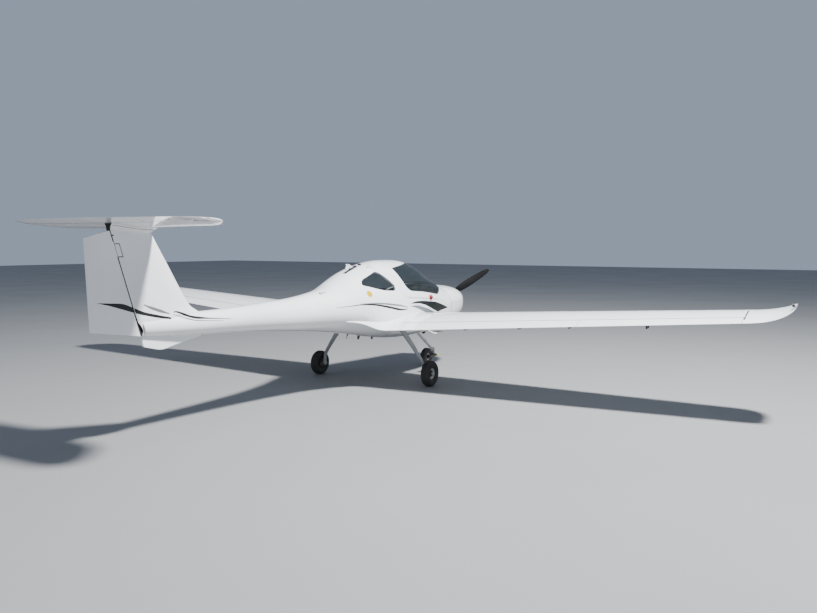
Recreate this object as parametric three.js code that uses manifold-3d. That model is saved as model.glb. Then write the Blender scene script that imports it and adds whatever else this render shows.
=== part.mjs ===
// Two-seat light aircraft, low wing, T-tail, fixed tricycle gear, in millimetres.
// +Z is up, the nose points to -Y and the left wing to +X.
// The origin is on the ground under the middle of the aircraft's bounding box.
import * as THREE from 'three';
import { mergeVertices } from 'three/addons/utils/BufferGeometryUtils.js';
import Module from 'manifold-3d';

const wasm = await Module();
wasm.setup();

// Gaps and walls
const SEAT_GAP = 0.3;
const MOVING_GAP = 5.5;
const RUDDER_GAP = 7.5;
const PIN_GAP = 0.75;
const WALL = 25;
const GLASS = 6;
const GLASS_INSET = 1.5;

// Fuselage stations: y, bottom, waist (height of the greatest width), top, half width, fullness above, below
const STATIONS = [
  [-3300, 850, 1040, 1195, 262, 2.3, 2.3],
  [-3240, 800, 1035, 1228, 332, 2.4, 2.3],
  [-3150, 748, 1028, 1256, 398, 2.5, 2.3],
  [-3000, 692, 1018, 1282, 454, 2.5, 2.3],
  [-2750, 645, 1000, 1305, 495, 2.5, 2.4],
  [-2500, 615, 986, 1330, 518, 2.4, 2.4],
  [-2440, 611, 986, 1348, 523, 2.35, 2.4],
  [-2300, 600, 990, 1425, 533, 2.2, 2.4],
  [-2100, 589, 1000, 1530, 545, 2.1, 2.4],
  [-1900, 580, 1015, 1632, 552, 2.1, 2.4],
  [-1750, 577, 1028, 1688, 556, 2.1, 2.4],
  [-1600, 579, 1037, 1714, 559, 2.1, 2.4],
  [-1400, 587, 1047, 1722, 560, 2.1, 2.4],
  [-1100, 614, 1060, 1714, 558, 2.1, 2.4],
  [-800, 658, 1070, 1668, 542, 2.1, 2.4],
  [-500, 712, 1078, 1588, 500, 2.1, 2.3],
  [-250, 757, 1080, 1490, 443, 2.1, 2.2],
  [0, 796, 1080, 1395, 375, 2.1, 2.1],
  [250, 828, 1080, 1345, 310, 2.05, 2],
  [700, 878, 1082, 1294, 228, 2, 2],
  [1200, 925, 1094, 1268, 178, 2, 2],
  [1800, 968, 1106, 1243, 142, 2, 2],
  [2400, 1002, 1118, 1236, 112, 2, 2],
  [2990, 1048, 1134, 1220, 68, 2, 2],
];
const RING = 24;
const NOSE_FACE_Y = -3300;
const FIREWALL_Y = -2520;
const FIREWALL_THICK = 10;
const CABIN_AFT_Y = -60;
const FLOOR_LIFT = 75;
const COWL_SPLIT_Z = 1040;

// Side-view outlines, corners as y, z, rounding
const CANOPY_OUTLINE = [
  [-735, 2000, 0], [-735, 1655, 20], [-904, 1473, 60], [-1053, 1246, 60], [-1150, 1203, 60],
  [-2110, 1122, 60], [-2420, 1290, 60], [-2520, 1460, 0], [-2520, 2000, 0],
];
const GLASS_OUTLINE = [
  [-1095, 1618, 25], [-1119, 1480, 60], [-1172, 1352, 70], [-1262, 1292, 60], [-1640, 1262, 200],
  [-2085, 1198, 50], [-2385, 1330, 60], [-2490, 1480, 0], [-2490, 1900, 0], [-1760, 1900, 0],
  [-1760, 1690, 25],
];
const REAR_WINDOW_OUTLINE = [
  [-335, 1408, 40], [-410, 1478, 60], [-742, 1585, 40], [-912, 1385, 40], [-890, 1312, 35], [-640, 1328, 120],
];

// Canopy hinge, just above the roof behind the canopy
const CANOPY_HINGE = { y: -716, z: 1668, x: 180, pin: 8, long: 34 };

// Wing: values at the centreline and their change for each millimetre of span
const WING = {
  rootX: 620, tipX: 5000, teY: -426, teSweep: -0.088, teZ: 765, dihedral: 0.0699,
  chord: 1281, taper: -0.1055, incidence: 0.0523, thick: 0.145, camber: 0.035,
};
// Wing root fairing: x, leading edge y, z, trailing edge y, z, thickness
const ROOT_FAIRING = [
  [250, -1840, 850, 120, 970, 150],
  [335, -1820, 858, 20, 951, 160],
  [385, -1790, 864, -100, 937, 168],
  [440, -1755, 868, -250, 900, 174],
  [520, -1720, 871, -430, 825, 177],
];
// Upturned wing tip: x, leading edge y, trailing edge y, lift above the straight wing
const WING_TIP = [
  [5000.3, -1619, -866, 0],
  [5130, -1602, -871, 8],
  [5250, -1550, -882, 32],
  [5340, -1465, -897, 68],
  [5400, -1350, -915, 110],
  [5428, -1210, -935, 145],
  [5435, -1080, -955, 168],
];
const FLAP = { from: 700, to: 3120, hinges: [900, 1610, 2340, 2980] };
const AILERON = { from: 3140, to: 4915, hinges: [3290, 3890, 4760] };
const HINGE_CHORD = 0.78;
const HINGE_DROP = 8;
// Hinge of a control surface: widths of the fixed arm and of the room around it, pin radius, height of the arm
const HINGE = { arm: 12, room: 24, pin: 5, height: 16, cheek: 5 };
const TIE_DOWN = { x: 4100, y: -1230, drop: 10, radius: 17, wire: 4 };
const PITOT = { x: 2600, y: -1400, drop: 85, tube: 8, long: 130 };

// Tail
const STABILISER_Z = 2164;
// Nose-down set of the tailplane, in degrees, about the elevator's hinge line
const STABILISER_SET = 4.5;
// x, leading edge y, trailing edge y
const STABILISER_HALF = [
  [1000, 2885, 3513], [1110, 2950, 3502], [1190, 3035, 3482], [1260, 3108, 3443], [1305, 3180, 3405],
  [1325, 3260, 3360],
];
const STABILISER = [
  ...STABILISER_HALF.map(([x, leY, teY]) => [-x, leY, teY]).reverse(), [0, 2790, 3560], ...STABILISER_HALF,
];
const ELEVATOR_HINGE_Y = 3330;
const ELEVATOR_HINGES = [-1150, -480, 480, 1150];
const ELEVATOR_NOSE = 24;
const STABILISER_THICK = 0.1;
// z, leading edge y, trailing edge y, thickness
const FIN = [
  [1040, 2100, 3536, 112],
  [1236, 2225, 3545, 112],
  [1316, 2350, 3549, 108],
  [1783, 2655, 3567, 90],
  [2045, 2818, 3584, 78],
  [2160, 2885, 3586, 72],
];
// Rudder axis as y, z and nose radius at its two ends, and the heights of its hinges
const RUDDER_AXIS = { low: [3008, 1040, 50], high: [3318, 2060, 29] };
const RUDDER_HINGES = [1330, 1860];
const RUDDER_OUTLINE = [
  [2900, 1049], [3045, 1052], [3545, 1135], [3580, 1135], [3580, 1997], [3326, 2072], [3240, 2072],
];
const VENTRAL_OUTLINE = [
  [2180, 1060], [2200, 975], [2417, 940], [2690, 887], [2760, 887], [2966, 940], [2975, 1090],
];
const VENTRAL_THICK = 26;

// Landing gear
const MAIN_WHEEL = { x: 950, y: -1077, radius: 178, width: 124, rim: 72 };
const NOSE_WHEEL = { y: -2645, radius: 142, width: 108, rim: 56 };
const AXLE = 14;
const WHEEL_SIDES = 20;
const BRAKE_DISC = 78;
const HUB_FLANGE = 30;
const BRAKE = { x: 873, behind: 60, thick: 18, long: 76, tall: 70 };
// Points along the boarding step's strut, then its tread
const STEP_STRUT = [[440, -1620, 780], [600, -1840, 632], [600, -1920, 650]];
const STEP_TREAD = { size: [100, 120, 8], at: [600, -1950, 654] };
const STEP_TUBE = 11;
// Exhaust pipe from the engine's underside out through the cowling's outlet
const EXHAUST = { bend: [0, -2595, 590], end: [0, -2530, 540], radius: 28, wall: 3, deep: 60 };
const COWL_OUTLET = { ahead: 75, size: [300, 90, 100], z: 610 };
const ANTENNA = { foot: [0, -467, 760], end: [0, -440, 668], radius: 5, base: 16 };
// x, y, z, chord, thickness along the left main leg
const MAIN_LEG = [
  [380, -1040, 930, 165, 30],
  [570, -1050, 695, 140, 28],
  [700, -1060, 523, 112, 26],
  [822, -1070, 345, 80, 24],
  [850, -1075, 262, 66, 24],
  [856, -1077, 160, 60, 22],
];
const NOSE_PIVOT = { y: -2868, low: 172, high: 262, radius: 23, pin: 10 };
const NOSE_LEG_TOP = [0, -2230, 640];
const NOSE_LEG_FOOT = [0, -2862, 222];
const NOSE_TUBE = 19;

// Propeller
const HUB = { y: -3384, z: 1085 };
const BLADE_ANGLE = 58.6;
// radius, chord, thickness, pitch angle in degrees
const BLADE = [
  [30, 66, 52, 60], [110, 76, 40, 55], [200, 108, 26, 45], [340, 126, 18, 34], [520, 120, 13, 25],
  [700, 98, 10, 19], [810, 72, 8, 16], [860, 44, 6, 15], [875, 18, 4, 15],
];
const SPINNER = { baseY: -3316, tipY: -3580, radius: 132 };

const PAINT_WHITE = 0xf1f2f2;
const paint = (color, roughness, metalness = 0) => (
  new THREE.MeshStandardMaterial({ color, roughness, metalness })
);
const white = () => paint(PAINT_WHITE, 0.3);
const tinted = () => {
  const glass = paint(0x55636b, 0.08);
  glass.transparent = true;
  glass.opacity = 0.4;
  return glass;
};
const rubber = () => paint(0x17181a, 0.85);
const alloy = () => paint(0xb9bcbd, 0.4, 0.8);
const darkPlastic = () => paint(0x222426, 0.6);
const greyLeg = () => paint(0x8b9297, 0.45, 0.2);

// Solids

function toSolid(geometry) {
  geometry.deleteAttribute('normal');
  geometry.deleteAttribute('uv');
  const merged = mergeVertices(geometry, 1e-3);
  return new wasm.Manifold(new wasm.Mesh({
    numProp: 3,
    vertProperties: new Float32Array(merged.attributes.position.array),
    triVerts: new Uint32Array(merged.index.array),
  }));
}

function toGeometry(solid) {
  const mesh = solid.getMesh();
  const geometry = new THREE.BufferGeometry();
  geometry.setAttribute('position', new THREE.BufferAttribute(new Float32Array(mesh.vertProperties), 3));
  geometry.setIndex(new THREE.BufferAttribute(new Uint32Array(mesh.triVerts), 1));
  return geometry;
}

// A closed solid through a row of flat loops with equal counts; `drop` is the axis left out to flatten a loop
function loft(loops, drop) {
  const flat = (p) => {
    if (drop === 'x') return new THREE.Vector2(p.y, p.z);
    if (drop === 'y') return new THREE.Vector2(p.x, p.z);
    return new THREE.Vector2(p.x, p.y);
  };
  const count = loops[0].length;
  const position = loops.flat().flatMap((p) => [p.x, p.y, p.z]);
  const index = [];
  const cap = (start, loop, turned) => {
    const contour = loop.map(flat);
    const sign = Math.sign(THREE.ShapeUtils.area(contour));
    for (const [a, b, c] of THREE.ShapeUtils.triangulateShape(contour, [])) {
      const keep = Math.sign(THREE.ShapeUtils.area([contour[a], contour[b], contour[c]])) === sign;
      const triangle = keep !== turned ? [a, b, c] : [a, c, b];
      index.push(...triangle.map((i) => start + i));
    }
  };
  cap(0, loops[0], true);
  cap((loops.length - 1) * count, loops[loops.length - 1], false);
  for (let k = 0; k + 1 < loops.length; k += 1) {
    for (let i = 0; i < count; i += 1) {
      const j = (i + 1) % count;
      const near = k * count;
      const far = near + count;
      index.push(near + i, near + j, far + j, near + i, far + j, far + i);
    }
  }
  const geometry = new THREE.BufferGeometry();
  geometry.setAttribute('position', new THREE.BufferAttribute(new Float32Array(position), 3));
  geometry.setIndex(index);
  if (signedVolume(geometry) < 0) geometry.setIndex(index.reverse());
  return toSolid(geometry);
}

function signedVolume(geometry) {
  const at = geometry.attributes.position;
  const order = geometry.index.array;
  const corner = [new THREE.Vector3(), new THREE.Vector3(), new THREE.Vector3()];
  let sum = 0;
  for (let i = 0; i < order.length; i += 3) {
    corner.forEach((v, k) => v.fromBufferAttribute(at, order[i + k]));
    sum += corner[0].dot(corner[1].cross(corner[2])) / 6;
  }
  return sum;
}

// The same solid on the other side of the aircraft
function mirrored(solid) {
  const geometry = toGeometry(solid);
  geometry.scale(-1, 1, 1);
  geometry.setIndex(Array.from(geometry.index.array).reverse());
  return toSolid(geometry);
}

function placed(geometry, x, y, z, turnX = 0, turnY = 0, turnZ = 0) {
  const matrix = new THREE.Matrix4().makeRotationFromEuler(new THREE.Euler(turnX, turnY, turnZ));
  geometry.applyMatrix4(matrix.setPosition(x, y, z));
  return toSolid(geometry);
}

const box = (sizeX, sizeY, sizeZ, x, y, z) => placed(new THREE.BoxGeometry(sizeX, sizeY, sizeZ), x, y, z);

// A round bar between two points
function bar(from, to, radius, sides = 16, farRadius = radius) {
  const start = new THREE.Vector3(...from);
  const end = new THREE.Vector3(...to);
  const along = end.clone().sub(start);
  const geometry = new THREE.CylinderGeometry(farRadius, radius, along.length(), sides);
  const turn = new THREE.Quaternion().setFromUnitVectors(new THREE.Vector3(0, 1, 0), along.clone().normalize());
  geometry.applyQuaternion(turn);
  geometry.translate(...start.add(end).multiplyScalar(0.5).toArray());
  return toSolid(geometry);
}

const joined = (...solids) => solids.reduce((all, next) => all.add(next));

// A side-view outline with rounded corners, as a wall-to-wall prism
function outlinePoints(corners) {
  const path = new THREE.Path();
  const points = corners.map(([y, z]) => new THREE.Vector2(y, z));
  corners.forEach(([, , round = 0], i) => {
    const here = points[i];
    const before = points[(i + points.length - 1) % points.length];
    const after = points[(i + 1) % points.length];
    const reachIn = Math.min(round, here.distanceTo(before) * 0.45);
    const reachOut = Math.min(round, here.distanceTo(after) * 0.45);
    const enter = here.clone().lerp(before, reachIn / here.distanceTo(before));
    const leave = here.clone().lerp(after, reachOut / here.distanceTo(after));
    if (i === 0) path.moveTo(enter.x, enter.y);
    else path.lineTo(enter.x, enter.y);
    if (round > 0) path.quadraticCurveTo(here.x, here.y, leave.x, leave.y);
  });
  const found = path.getPoints(4);
  return found.filter((p, i) => i === 0 || p.distanceTo(found[i - 1]) > 0.01);
}

// The outline moved outwards by a distance (inwards when negative)
function grownOutline(points, distance) {
  const sign = THREE.ShapeUtils.area(points) > 0 ? 1 : -1;
  return points.map((here, i) => {
    const before = points[(i + points.length - 1) % points.length];
    const after = points[(i + 1) % points.length];
    const first = here.clone().sub(before).normalize();
    const second = after.clone().sub(here).normalize();
    const normal = new THREE.Vector2(first.y + second.y, -first.x - second.x).normalize();
    const stretch = 1 / Math.max(0.5, normal.dot(new THREE.Vector2(first.y, -first.x)));
    return here.clone().addScaledVector(normal, sign * distance * stretch);
  });
}

function prism(points, fromX, toX) {
  return loft([fromX, toX].map((x) => points.map((p) => new THREE.Vector3(x, p.x, p.y))), 'x');
}

const sidePrism = (corners, grow, fromX, toX) => (
  prism(grownOutline(outlinePoints(corners), grow), fromX, toX)
);

// Fuselage form

function stationAt(y) {
  const last = STATIONS.length - 1;
  let k = STATIONS.findIndex((row) => row[0] >= y);
  if (k <= 0) k = k < 0 ? last : 1;
  const slope = (i, c) => {
    const a = STATIONS[Math.max(0, i - 1)];
    const b = STATIONS[Math.min(last, i + 1)];
    return (b[c] - a[c]) / (b[0] - a[0]);
  };
  const [low, high] = [STATIONS[k - 1], STATIONS[k]];
  const span = high[0] - low[0];
  const t = (y - low[0]) / span;
  return low.map((value, c) => {
    const start = (2 * t ** 3 - 3 * t ** 2 + 1) * value + (t ** 3 - 2 * t ** 2 + t) * span * slope(k - 1, c);
    return start + (3 * t ** 2 - 2 * t ** 3) * high[c] + (t ** 3 - t ** 2) * span * slope(k, c);
  });
}

// One ring of the fuselage, drawn in by `inset` all round and raised at the bottom by `lift`
function fuselageRing(y, inset, lift = inset) {
  const [, bottom, waist, top, half, above, below] = stationAt(y);
  const ring = [];
  for (let i = 0; i < RING; i += 1) {
    const angle = (2 * Math.PI * i) / RING;
    const upper = Math.sin(angle) > 0;
    const power = 2 / (upper ? above : below);
    const height = upper ? top - inset - waist : waist - bottom - lift;
    const across = Math.sign(Math.cos(angle)) * Math.abs(Math.cos(angle)) ** power;
    const rise = Math.sign(Math.sin(angle)) * Math.abs(Math.sin(angle)) ** power;
    ring.push(new THREE.Vector3(across * (half - inset), y, waist + rise * height));
  }
  return ring;
}

function fuselageForm(fromY, toY, inset, lift) {
  const every = inset >= WALL ? 2 : 1;
  const inner = STATIONS.map((row) => row[0]).filter((y, i) => y > fromY + 1 && y < toY - 1 && i % every === 0);
  const spots = [fromY, ...inner, toY];
  const all = spots.flatMap((y, i) => (i && y - spots[i - 1] > 320 ? [(y + spots[i - 1]) / 2, y] : [y]));
  return loft(all.map((y) => fuselageRing(y, inset, lift)), 'y');
}

// Airfoils

function airfoil(leading, trailing, thick, camber, place) {
  const HALF_COUNT = 9;
  const chord = Math.hypot(trailing[0] - leading[0], trailing[1] - leading[1]);
  const ratio = thick / chord;
  const row = (side) => (_, i) => {
    const c = (1 - Math.cos((Math.PI * i) / HALF_COUNT)) / 2;
    const half = 5 * ratio * (0.2969 * Math.sqrt(c) - 0.126 * c - 0.3516 * c ** 2 + 0.2843 * c ** 3 - 0.1 * c ** 4);
    const peak = 0.4;
    const bow = c < peak
      ? (camber / peak ** 2) * (2 * peak * c - c ** 2)
      : (camber / (1 - peak) ** 2) * (1 - 2 * peak + 2 * peak * c - c ** 2);
    return { c, h: (bow + side * half) * chord };
  };
  const upper = Array.from({ length: HALF_COUNT + 1 }, row(1)).reverse();
  const lower = Array.from({ length: HALF_COUNT + 1 }, row(-1)).slice(1);
  return [...upper, ...lower].map(({ c, h }) => place(
    leading[0] + (trailing[0] - leading[0]) * c,
    leading[1] + (trailing[1] - leading[1]) * c + h,
  ));
}

function wingSection(x, grow = 0, leY = null, teY = null, lift = 0) {
  const chord = WING.chord + WING.taper * x;
  const straightTe = WING.teY + WING.teSweep * x;
  const trailY = teY ?? straightTe;
  const leadY = leY ?? straightTe - chord;
  const own = trailY - leadY;
  const trailZ = WING.teZ + WING.dihedral * x + lift;
  const leadZ = trailZ + WING.incidence * own;
  return airfoil(
    [leadY - grow, leadZ], [trailY + grow, trailZ], WING.thick * own + 2 * grow, WING.camber,
    (y, z) => new THREE.Vector3(x, y, z),
  );
}

// Hinge line of a flap or an aileron, on the wing's lower skin
function wingHinge(x) {
  const section = wingSection(x);
  const trailY = WING.teY + WING.teSweep * x;
  const chord = WING.chord + WING.taper * x;
  const y = trailY - chord * (1 - HINGE_CHORD);
  const skin = (points) => {
    const k = points.findIndex((p, i) => i + 1 < points.length && (p.y - y) * (points[i + 1].y - y) <= 0);
    const [a, b] = [points[k], points[k + 1]];
    return a.z + ((b.z - a.z) * (y - a.y)) / (b.y - a.y);
  };
  const middle = Math.floor(section.length / 2);
  const top = skin(section.slice(0, middle + 1));
  const under = skin(section.slice(middle));
  const z = under - HINGE_DROP;
  return { x, y, z, radius: top - z };
}

// The room of a hinged surface: a round nose about the hinge line and everything behind it
function hingedRoom(ends, gap, far) {
  const axis = new THREE.Vector3(ends[1].x - ends[0].x, ends[1].y - ends[0].y, ends[1].z - ends[0].z).normalize();
  const loops = ends.map((hinge, e) => {
    const radius = hinge.radius + gap;
    const flatPoints = [[far, 260], [0, 260]];
    for (let i = 0; i <= 8; i += 1) {
      const angle = Math.PI / 2 + (i / 8) * (Math.PI / 2);
      flatPoints.push([Math.cos(angle) * radius, Math.sin(angle) * radius]);
    }
    flatPoints.push([-radius, -200], [far, -200]);
    const shift = (e ? 1 : -1) * gap;
    return flatPoints.map(([dy, dz]) => new THREE.Vector3(
      hinge.x + shift - (axis.y * dy + axis.z * dz) / axis.x, hinge.y + dy, hinge.z + dz,
    ));
  });
  return loft(loops, 'x');
}

// Fittings of one wing hinge: the wing's bracket and pin, the room cut in the surface, the surface's cheeks
function hingeFittings(x) {
  const hinge = wingHinge(x);
  const reach = hinge.radius + 45;
  const side = (HINGE.room + HINGE.cheek) / 2;
  return {
    bracket: joined(
      box(HINGE.arm, reach + 10, HINGE.height, x, hinge.y - reach / 2 + 5, hinge.z),
      box(HINGE.arm, 60, 46, x, hinge.y - reach + 12, hinge.z + 14),
      hingePin(x, hinge.y, hinge.z),
    ),
    notch: box(HINGE.room, hinge.radius + 35, 190, x, hinge.y - hinge.radius / 2 + 5, hinge.z + 40),
    cheeks: joined(...[-side, side].map((offset) => (
      box(HINGE.cheek, 44, 30, x + offset, hinge.y + 14, hinge.z + 7)
    ))),
  };
}

function hingePin(x, y, z) {
  const half = HINGE.room / 2 - PIN_GAP;
  return bar([x - half, y, z], [x + half, y, z], HINGE.pin, 10);
}

// Left wing with its cut-outs

function surfaceOf(table) {
  const ends = [wingHinge(table.from), wingHinge(table.to)];
  const fittings = table.hinges.map(hingeFittings);
  const skin = loft([wingSection(table.from - 60), wingSection(table.to + 60)], 'x');
  const room = hingedRoom(ends, 0, 420);
  let solid = skin.intersect(room);
  fittings.forEach((f) => { solid = solid.subtract(f.notch).add(f.cheeks); });
  return { solid, room: hingedRoom(ends, MOVING_GAP, 440), brackets: fittings.map((f) => f.bracket) };
}

const flap = surfaceOf(FLAP);
const aileron = surfaceOf(AILERON);

function tieDownRing() {
  const { x, y, drop, radius, wire } = TIE_DOWN;
  const z = lowerSkin(x, y) - drop;
  return placed(new THREE.TorusGeometry(radius, wire, 6, 14), x, y, z, 0, Math.PI / 2, 0);
}

function leftWing() {
  const panel = loft([wingSection(WING.rootX + SEAT_GAP), wingSection(WING.tipX)], 'x');
  const cut = panel.subtract(flap.room).subtract(aileron.room);
  return joined(cut, ...flap.brackets, ...aileron.brackets, tieDownRing());
}

function pitotTube() {
  const { x, y, drop, tube, long } = PITOT;
  const z = lowerSkin(x, y);
  const mast = joined(
    box(tube, 50, drop + 20, x, y, z - drop / 2 + 10),
    bar([x, y + 25, z - drop], [x, y - long, z - drop], tube, 10),
  );
  return mast.subtract(lowered(wingSolid));
}

// Height of the wing's lower skin
function lowerSkin(x, y) {
  const section = wingSection(x);
  const under = section.slice(Math.floor(section.length / 2));
  const k = under.findIndex((p, i) => i + 1 < under.length && under[i + 1].y >= y);
  const [a, b] = [under[k], under[k + 1]];
  return a.z + ((b.z - a.z) * (y - a.y)) / (b.y - a.y);
}

function leftWingTip() {
  return loft(WING_TIP.map(([x, leY, teY, lift]) => wingSection(x, 0, leY, teY, lift)), 'x');
}

// Fuselage, cowling and canopy

const outer = fuselageForm(NOSE_FACE_Y, STATIONS[STATIONS.length - 1][0], 0, 0);
const grown = fuselageForm(NOSE_FACE_Y - 1, STATIONS[STATIONS.length - 1][0], -SEAT_GAP, -SEAT_GAP);

function slab(fromY, toY) {
  return box(3000, toY - fromY, 3000, 0, (fromY + toY) / 2, 1200);
}

function rootFairing() {
  const inner = ROOT_FAIRING.map(([x, leY, leZ, teY, teZ, thick]) => airfoil(
    [leY, leZ], [teY, teZ], thick, 0.02, (y, z) => new THREE.Vector3(x, y, z),
  ));
  return loft([...inner, wingSection(WING.rootX)], 'x');
}

const rudderEnds = [RUDDER_AXIS.low, RUDDER_AXIS.high].map(([y, z, radius]) => ({ y, z, radius }));

// Fittings of one rudder hinge: the fin's arm and pin, and the room cut for them in the rudder
function rudderHinge(z) {
  const [low, high] = rudderEnds;
  const along = (z - low.z) / (high.z - low.z);
  const y = THREE.MathUtils.lerp(low.y, high.y, along);
  const radius = THREE.MathUtils.lerp(low.radius, high.radius, along);
  const lean = Math.atan2(high.y - low.y, high.z - low.z);
  const leaning = (geometry) => placed(geometry, 0, y, z, -lean, 0, 0);
  const reach = radius + 36;
  const arm = new THREE.BoxGeometry(HINGE.height, reach + 8, HINGE.arm).translate(0, (8 - reach) / 2, 0);
  const pin = new THREE.CylinderGeometry(HINGE.pin, HINGE.pin, HINGE.room - 2 * PIN_GAP, 10).rotateX(Math.PI / 2);
  const notch = new THREE.BoxGeometry(300, radius + 30, HINGE.room).translate(0, (6 - radius) / 2, 0);
  return { arm: joined(leaning(arm), leaning(pin)), notch: leaning(notch) };
}

// The same for the elevator and the stabiliser
function elevatorHinge(x) {
  const [y, z] = [ELEVATOR_HINGE_Y, STABILISER_Z];
  return {
    arm: joined(box(HINGE.arm, 60, HINGE.height, x, y - 22, z), hingePin(x, y, z)),
    notch: box(HINGE.room, 54, 120, x, y - 9, z),
  };
}

// The room of the rudder: a round nose about its leaning axis and everything behind it
function rudderRoom(gap) {
  const [low, high] = rudderEnds;
  const loops = [[low, -40], [high, 130]].map(([end, beyond]) => {
    const radius = end.radius + gap;
    const lean = (high.y - low.y) / (high.z - low.z);
    const z = end.z + beyond;
    const y = end.y + beyond * lean;
    const points = [[700, -300]];
    for (let i = 0; i <= 12; i += 1) {
      const angle = -Math.PI / 2 - (i / 12) * Math.PI;
      points.push([Math.cos(angle) * radius, Math.sin(angle) * radius]);
    }
    points.splice(1, 0, [0, -300]);
    points.push([0, 300], [700, 300]);
    return points.map(([dy, dx]) => new THREE.Vector3(dx, y + dy, z));
  });
  return loft(loops, 'z');
}

function finSection([z, leY, teY, thick]) {
  return airfoil([leY, 0], [teY, 0], thick, 0, (y, x) => new THREE.Vector3(x, y, z));
}

const finForm = loft(FIN.map(finSection), 'z');

// A place on the tailplane, given ahead of or behind and above or below the elevator's hinge line
function onTailplane(x, dy, dz) {
  const turn = THREE.MathUtils.degToRad(STABILISER_SET);
  return new THREE.Vector3(
    x,
    ELEVATOR_HINGE_Y + dy * Math.cos(turn) - dz * Math.sin(turn),
    STABILISER_Z + dy * Math.sin(turn) + dz * Math.cos(turn),
  );
}

const stabiliserForm = (grow) => loft(STABILISER.map(([x, leY, teY]) => airfoil(
  [leY - grow, 0], [teY + grow, 0],
  STABILISER_THICK * (teY - leY) + 2 * grow, 0, (y, z) => onTailplane(x, y - ELEVATOR_HINGE_Y, z),
)), 'x');

const cabinHollow = fuselageForm(FIREWALL_Y - 60, CABIN_AFT_Y, WALL, FLOOR_LIFT);

function fuselage() {
  const { y, z, x, pin, long } = CANOPY_HINGE;
  let body = outer.intersect(slab(FIREWALL_Y, 3000));
  body = joined(body, rootFairing(), mirrored(rootFairing()));
  body = body.subtract(cabinHollow);
  body = body.subtract(sidePrism(CANOPY_OUTLINE, 0, -700, 700));
  body = body.subtract(sidePrism(REAR_WINDOW_OUTLINE, 0, -700, 700));
  body = body.subtract(rudderRoom(RUDDER_GAP));
  [-x, x].forEach((side) => {
    body = joined(
      body,
      bar([side - long / 2, y, z], [side + long / 2, y, z], pin, 12),
      box(long, 60, 80, side, y + 34, z - 44),
    );
  });
  return body;
}

function canopyFrame() {
  const { y, z, x, pin, long } = CANOPY_HINGE;
  const shell = outer.subtract(fuselageForm(NOSE_FACE_Y + 5, 900, WALL, WALL));
  let frame = shell.intersect(sidePrism(CANOPY_OUTLINE, -MOVING_GAP, -700, 700));
  frame = frame.intersect(slab(FIREWALL_Y + 8, 0));
  frame = frame.subtract(sidePrism(GLASS_OUTLINE, 0, -700, 700));
  [-x, x].forEach((side) => {
    [-1, 1].forEach((end) => {
      const middle = side + end * (long / 2 + SEAT_GAP + 6);
      frame = joined(
        frame,
        bar([middle - 6, y, z], [middle + 6, y, z], pin, 12),
        box(12, 116, 14, middle, y - 60, z - 1),
        box(12, 36, 46, middle, y - 100, z - 30),
      );
    });
  });
  return frame;
}

function pane(outline, fromX, toX) {
  const front = fuselageForm(NOSE_FACE_Y + 5, 900, GLASS_INSET, GLASS_INSET);
  const back = fuselageForm(NOSE_FACE_Y + 4, 901, GLASS_INSET + GLASS, GLASS_INSET + GLASS);
  return front.subtract(back).intersect(sidePrism(outline, -SEAT_GAP, fromX, toX));
}

function cowling() {
  const skin = 8;
  const hollow = fuselageForm(NOSE_FACE_Y + skin, FIREWALL_Y + 50, skin, skin);
  let shell = outer.intersect(slab(NOSE_FACE_Y - 10, FIREWALL_Y - FIREWALL_THICK - SEAT_GAP)).subtract(hollow);
  shell = shell.subtract(bar([0, NOSE_FACE_Y - 50, HUB.z], [0, NOSE_FACE_Y + 60, HUB.z], 62, 24));
  const inlet = new THREE.CylinderGeometry(1, 1, 120, 20);
  [-172, 172].forEach((x) => {
    const opening = inlet.clone();
    opening.scale(56, 1, 44);
    shell = shell.subtract(placed(opening, x, NOSE_FACE_Y + 30, 1040, 0, 0, 0));
  });
  const chin = inlet.clone();
  chin.scale(120, 1, 30);
  shell = shell.subtract(placed(chin, 0, NOSE_FACE_Y + 30, 905, 0, 0, 0));
  return shell.subtract(box(...COWL_OUTLET.size, 0, FIREWALL_Y - COWL_OUTLET.ahead, COWL_OUTLET.z));
}

function exhaustPipe() {
  const { bend, end, radius, wall, deep } = EXHAUST;
  const top = [bend[0], bend[1], ENGINE.low - SEAT_GAP];
  const last = new THREE.Vector3(...end);
  const back = last.clone().sub(new THREE.Vector3(...bend)).setLength(deep);
  const bore = bar(last.clone().sub(back).toArray(), last.clone().add(back).toArray(), radius - wall, 16);
  const elbow = placed(new THREE.SphereGeometry(radius, 16, 8), ...bend);
  return joined(bar(top, bend, radius, 16), elbow, bar(bend, end, radius, 16)).subtract(bore);
}

const cowl = cowling();
const above = (z) => box(3000, 9000, 2000, 0, 0, z + 1000);

// Cabin fittings

const PANEL_PROFILE = [
  [-2505, 1215, 0], [-2160, 1236, 20], [-2060, 1212, 20], [-2080, 1185, 0], [-2120, 1180, 0],
  [-2090, 960, 20], [-2125, 950, 0], [-2175, 1150, 40], [-2505, 1180, 0],
];

function instrumentPanel() {
  const profile = sidePrism(PANEL_PROFILE, 0, -600, 600);
  const wide = profile.intersect(fuselageForm(FIREWALL_Y, -1600, WALL + SEAT_GAP, FLOOR_LIFT + SEAT_GAP));
  const narrow = profile.intersect(fuselageForm(FIREWALL_Y, -1600, WALL + MOVING_GAP + 1, FLOOR_LIFT + MOVING_GAP));
  return wide.subtract(sidePrism(CANOPY_OUTLINE, MOVING_GAP, -700, 700)).add(narrow);
}

const SEAT_PROFILE = [
  [-1800, 720, 0], [-1800, 850, 40], [-1420, 800, 60], [-1110, 1330, 30], [-1050, 1310, 30],
  [-1290, 800, 40], [-1290, 720, 0],
];
const SEAT_WIDTH = 430;
const SEAT_X = 245;
const STICK = { y: -1880, z: 715, gripLow: 985, gripTop: 1085, tube: 12, stick: 9, grip: 17, stand: 120 };

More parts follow.
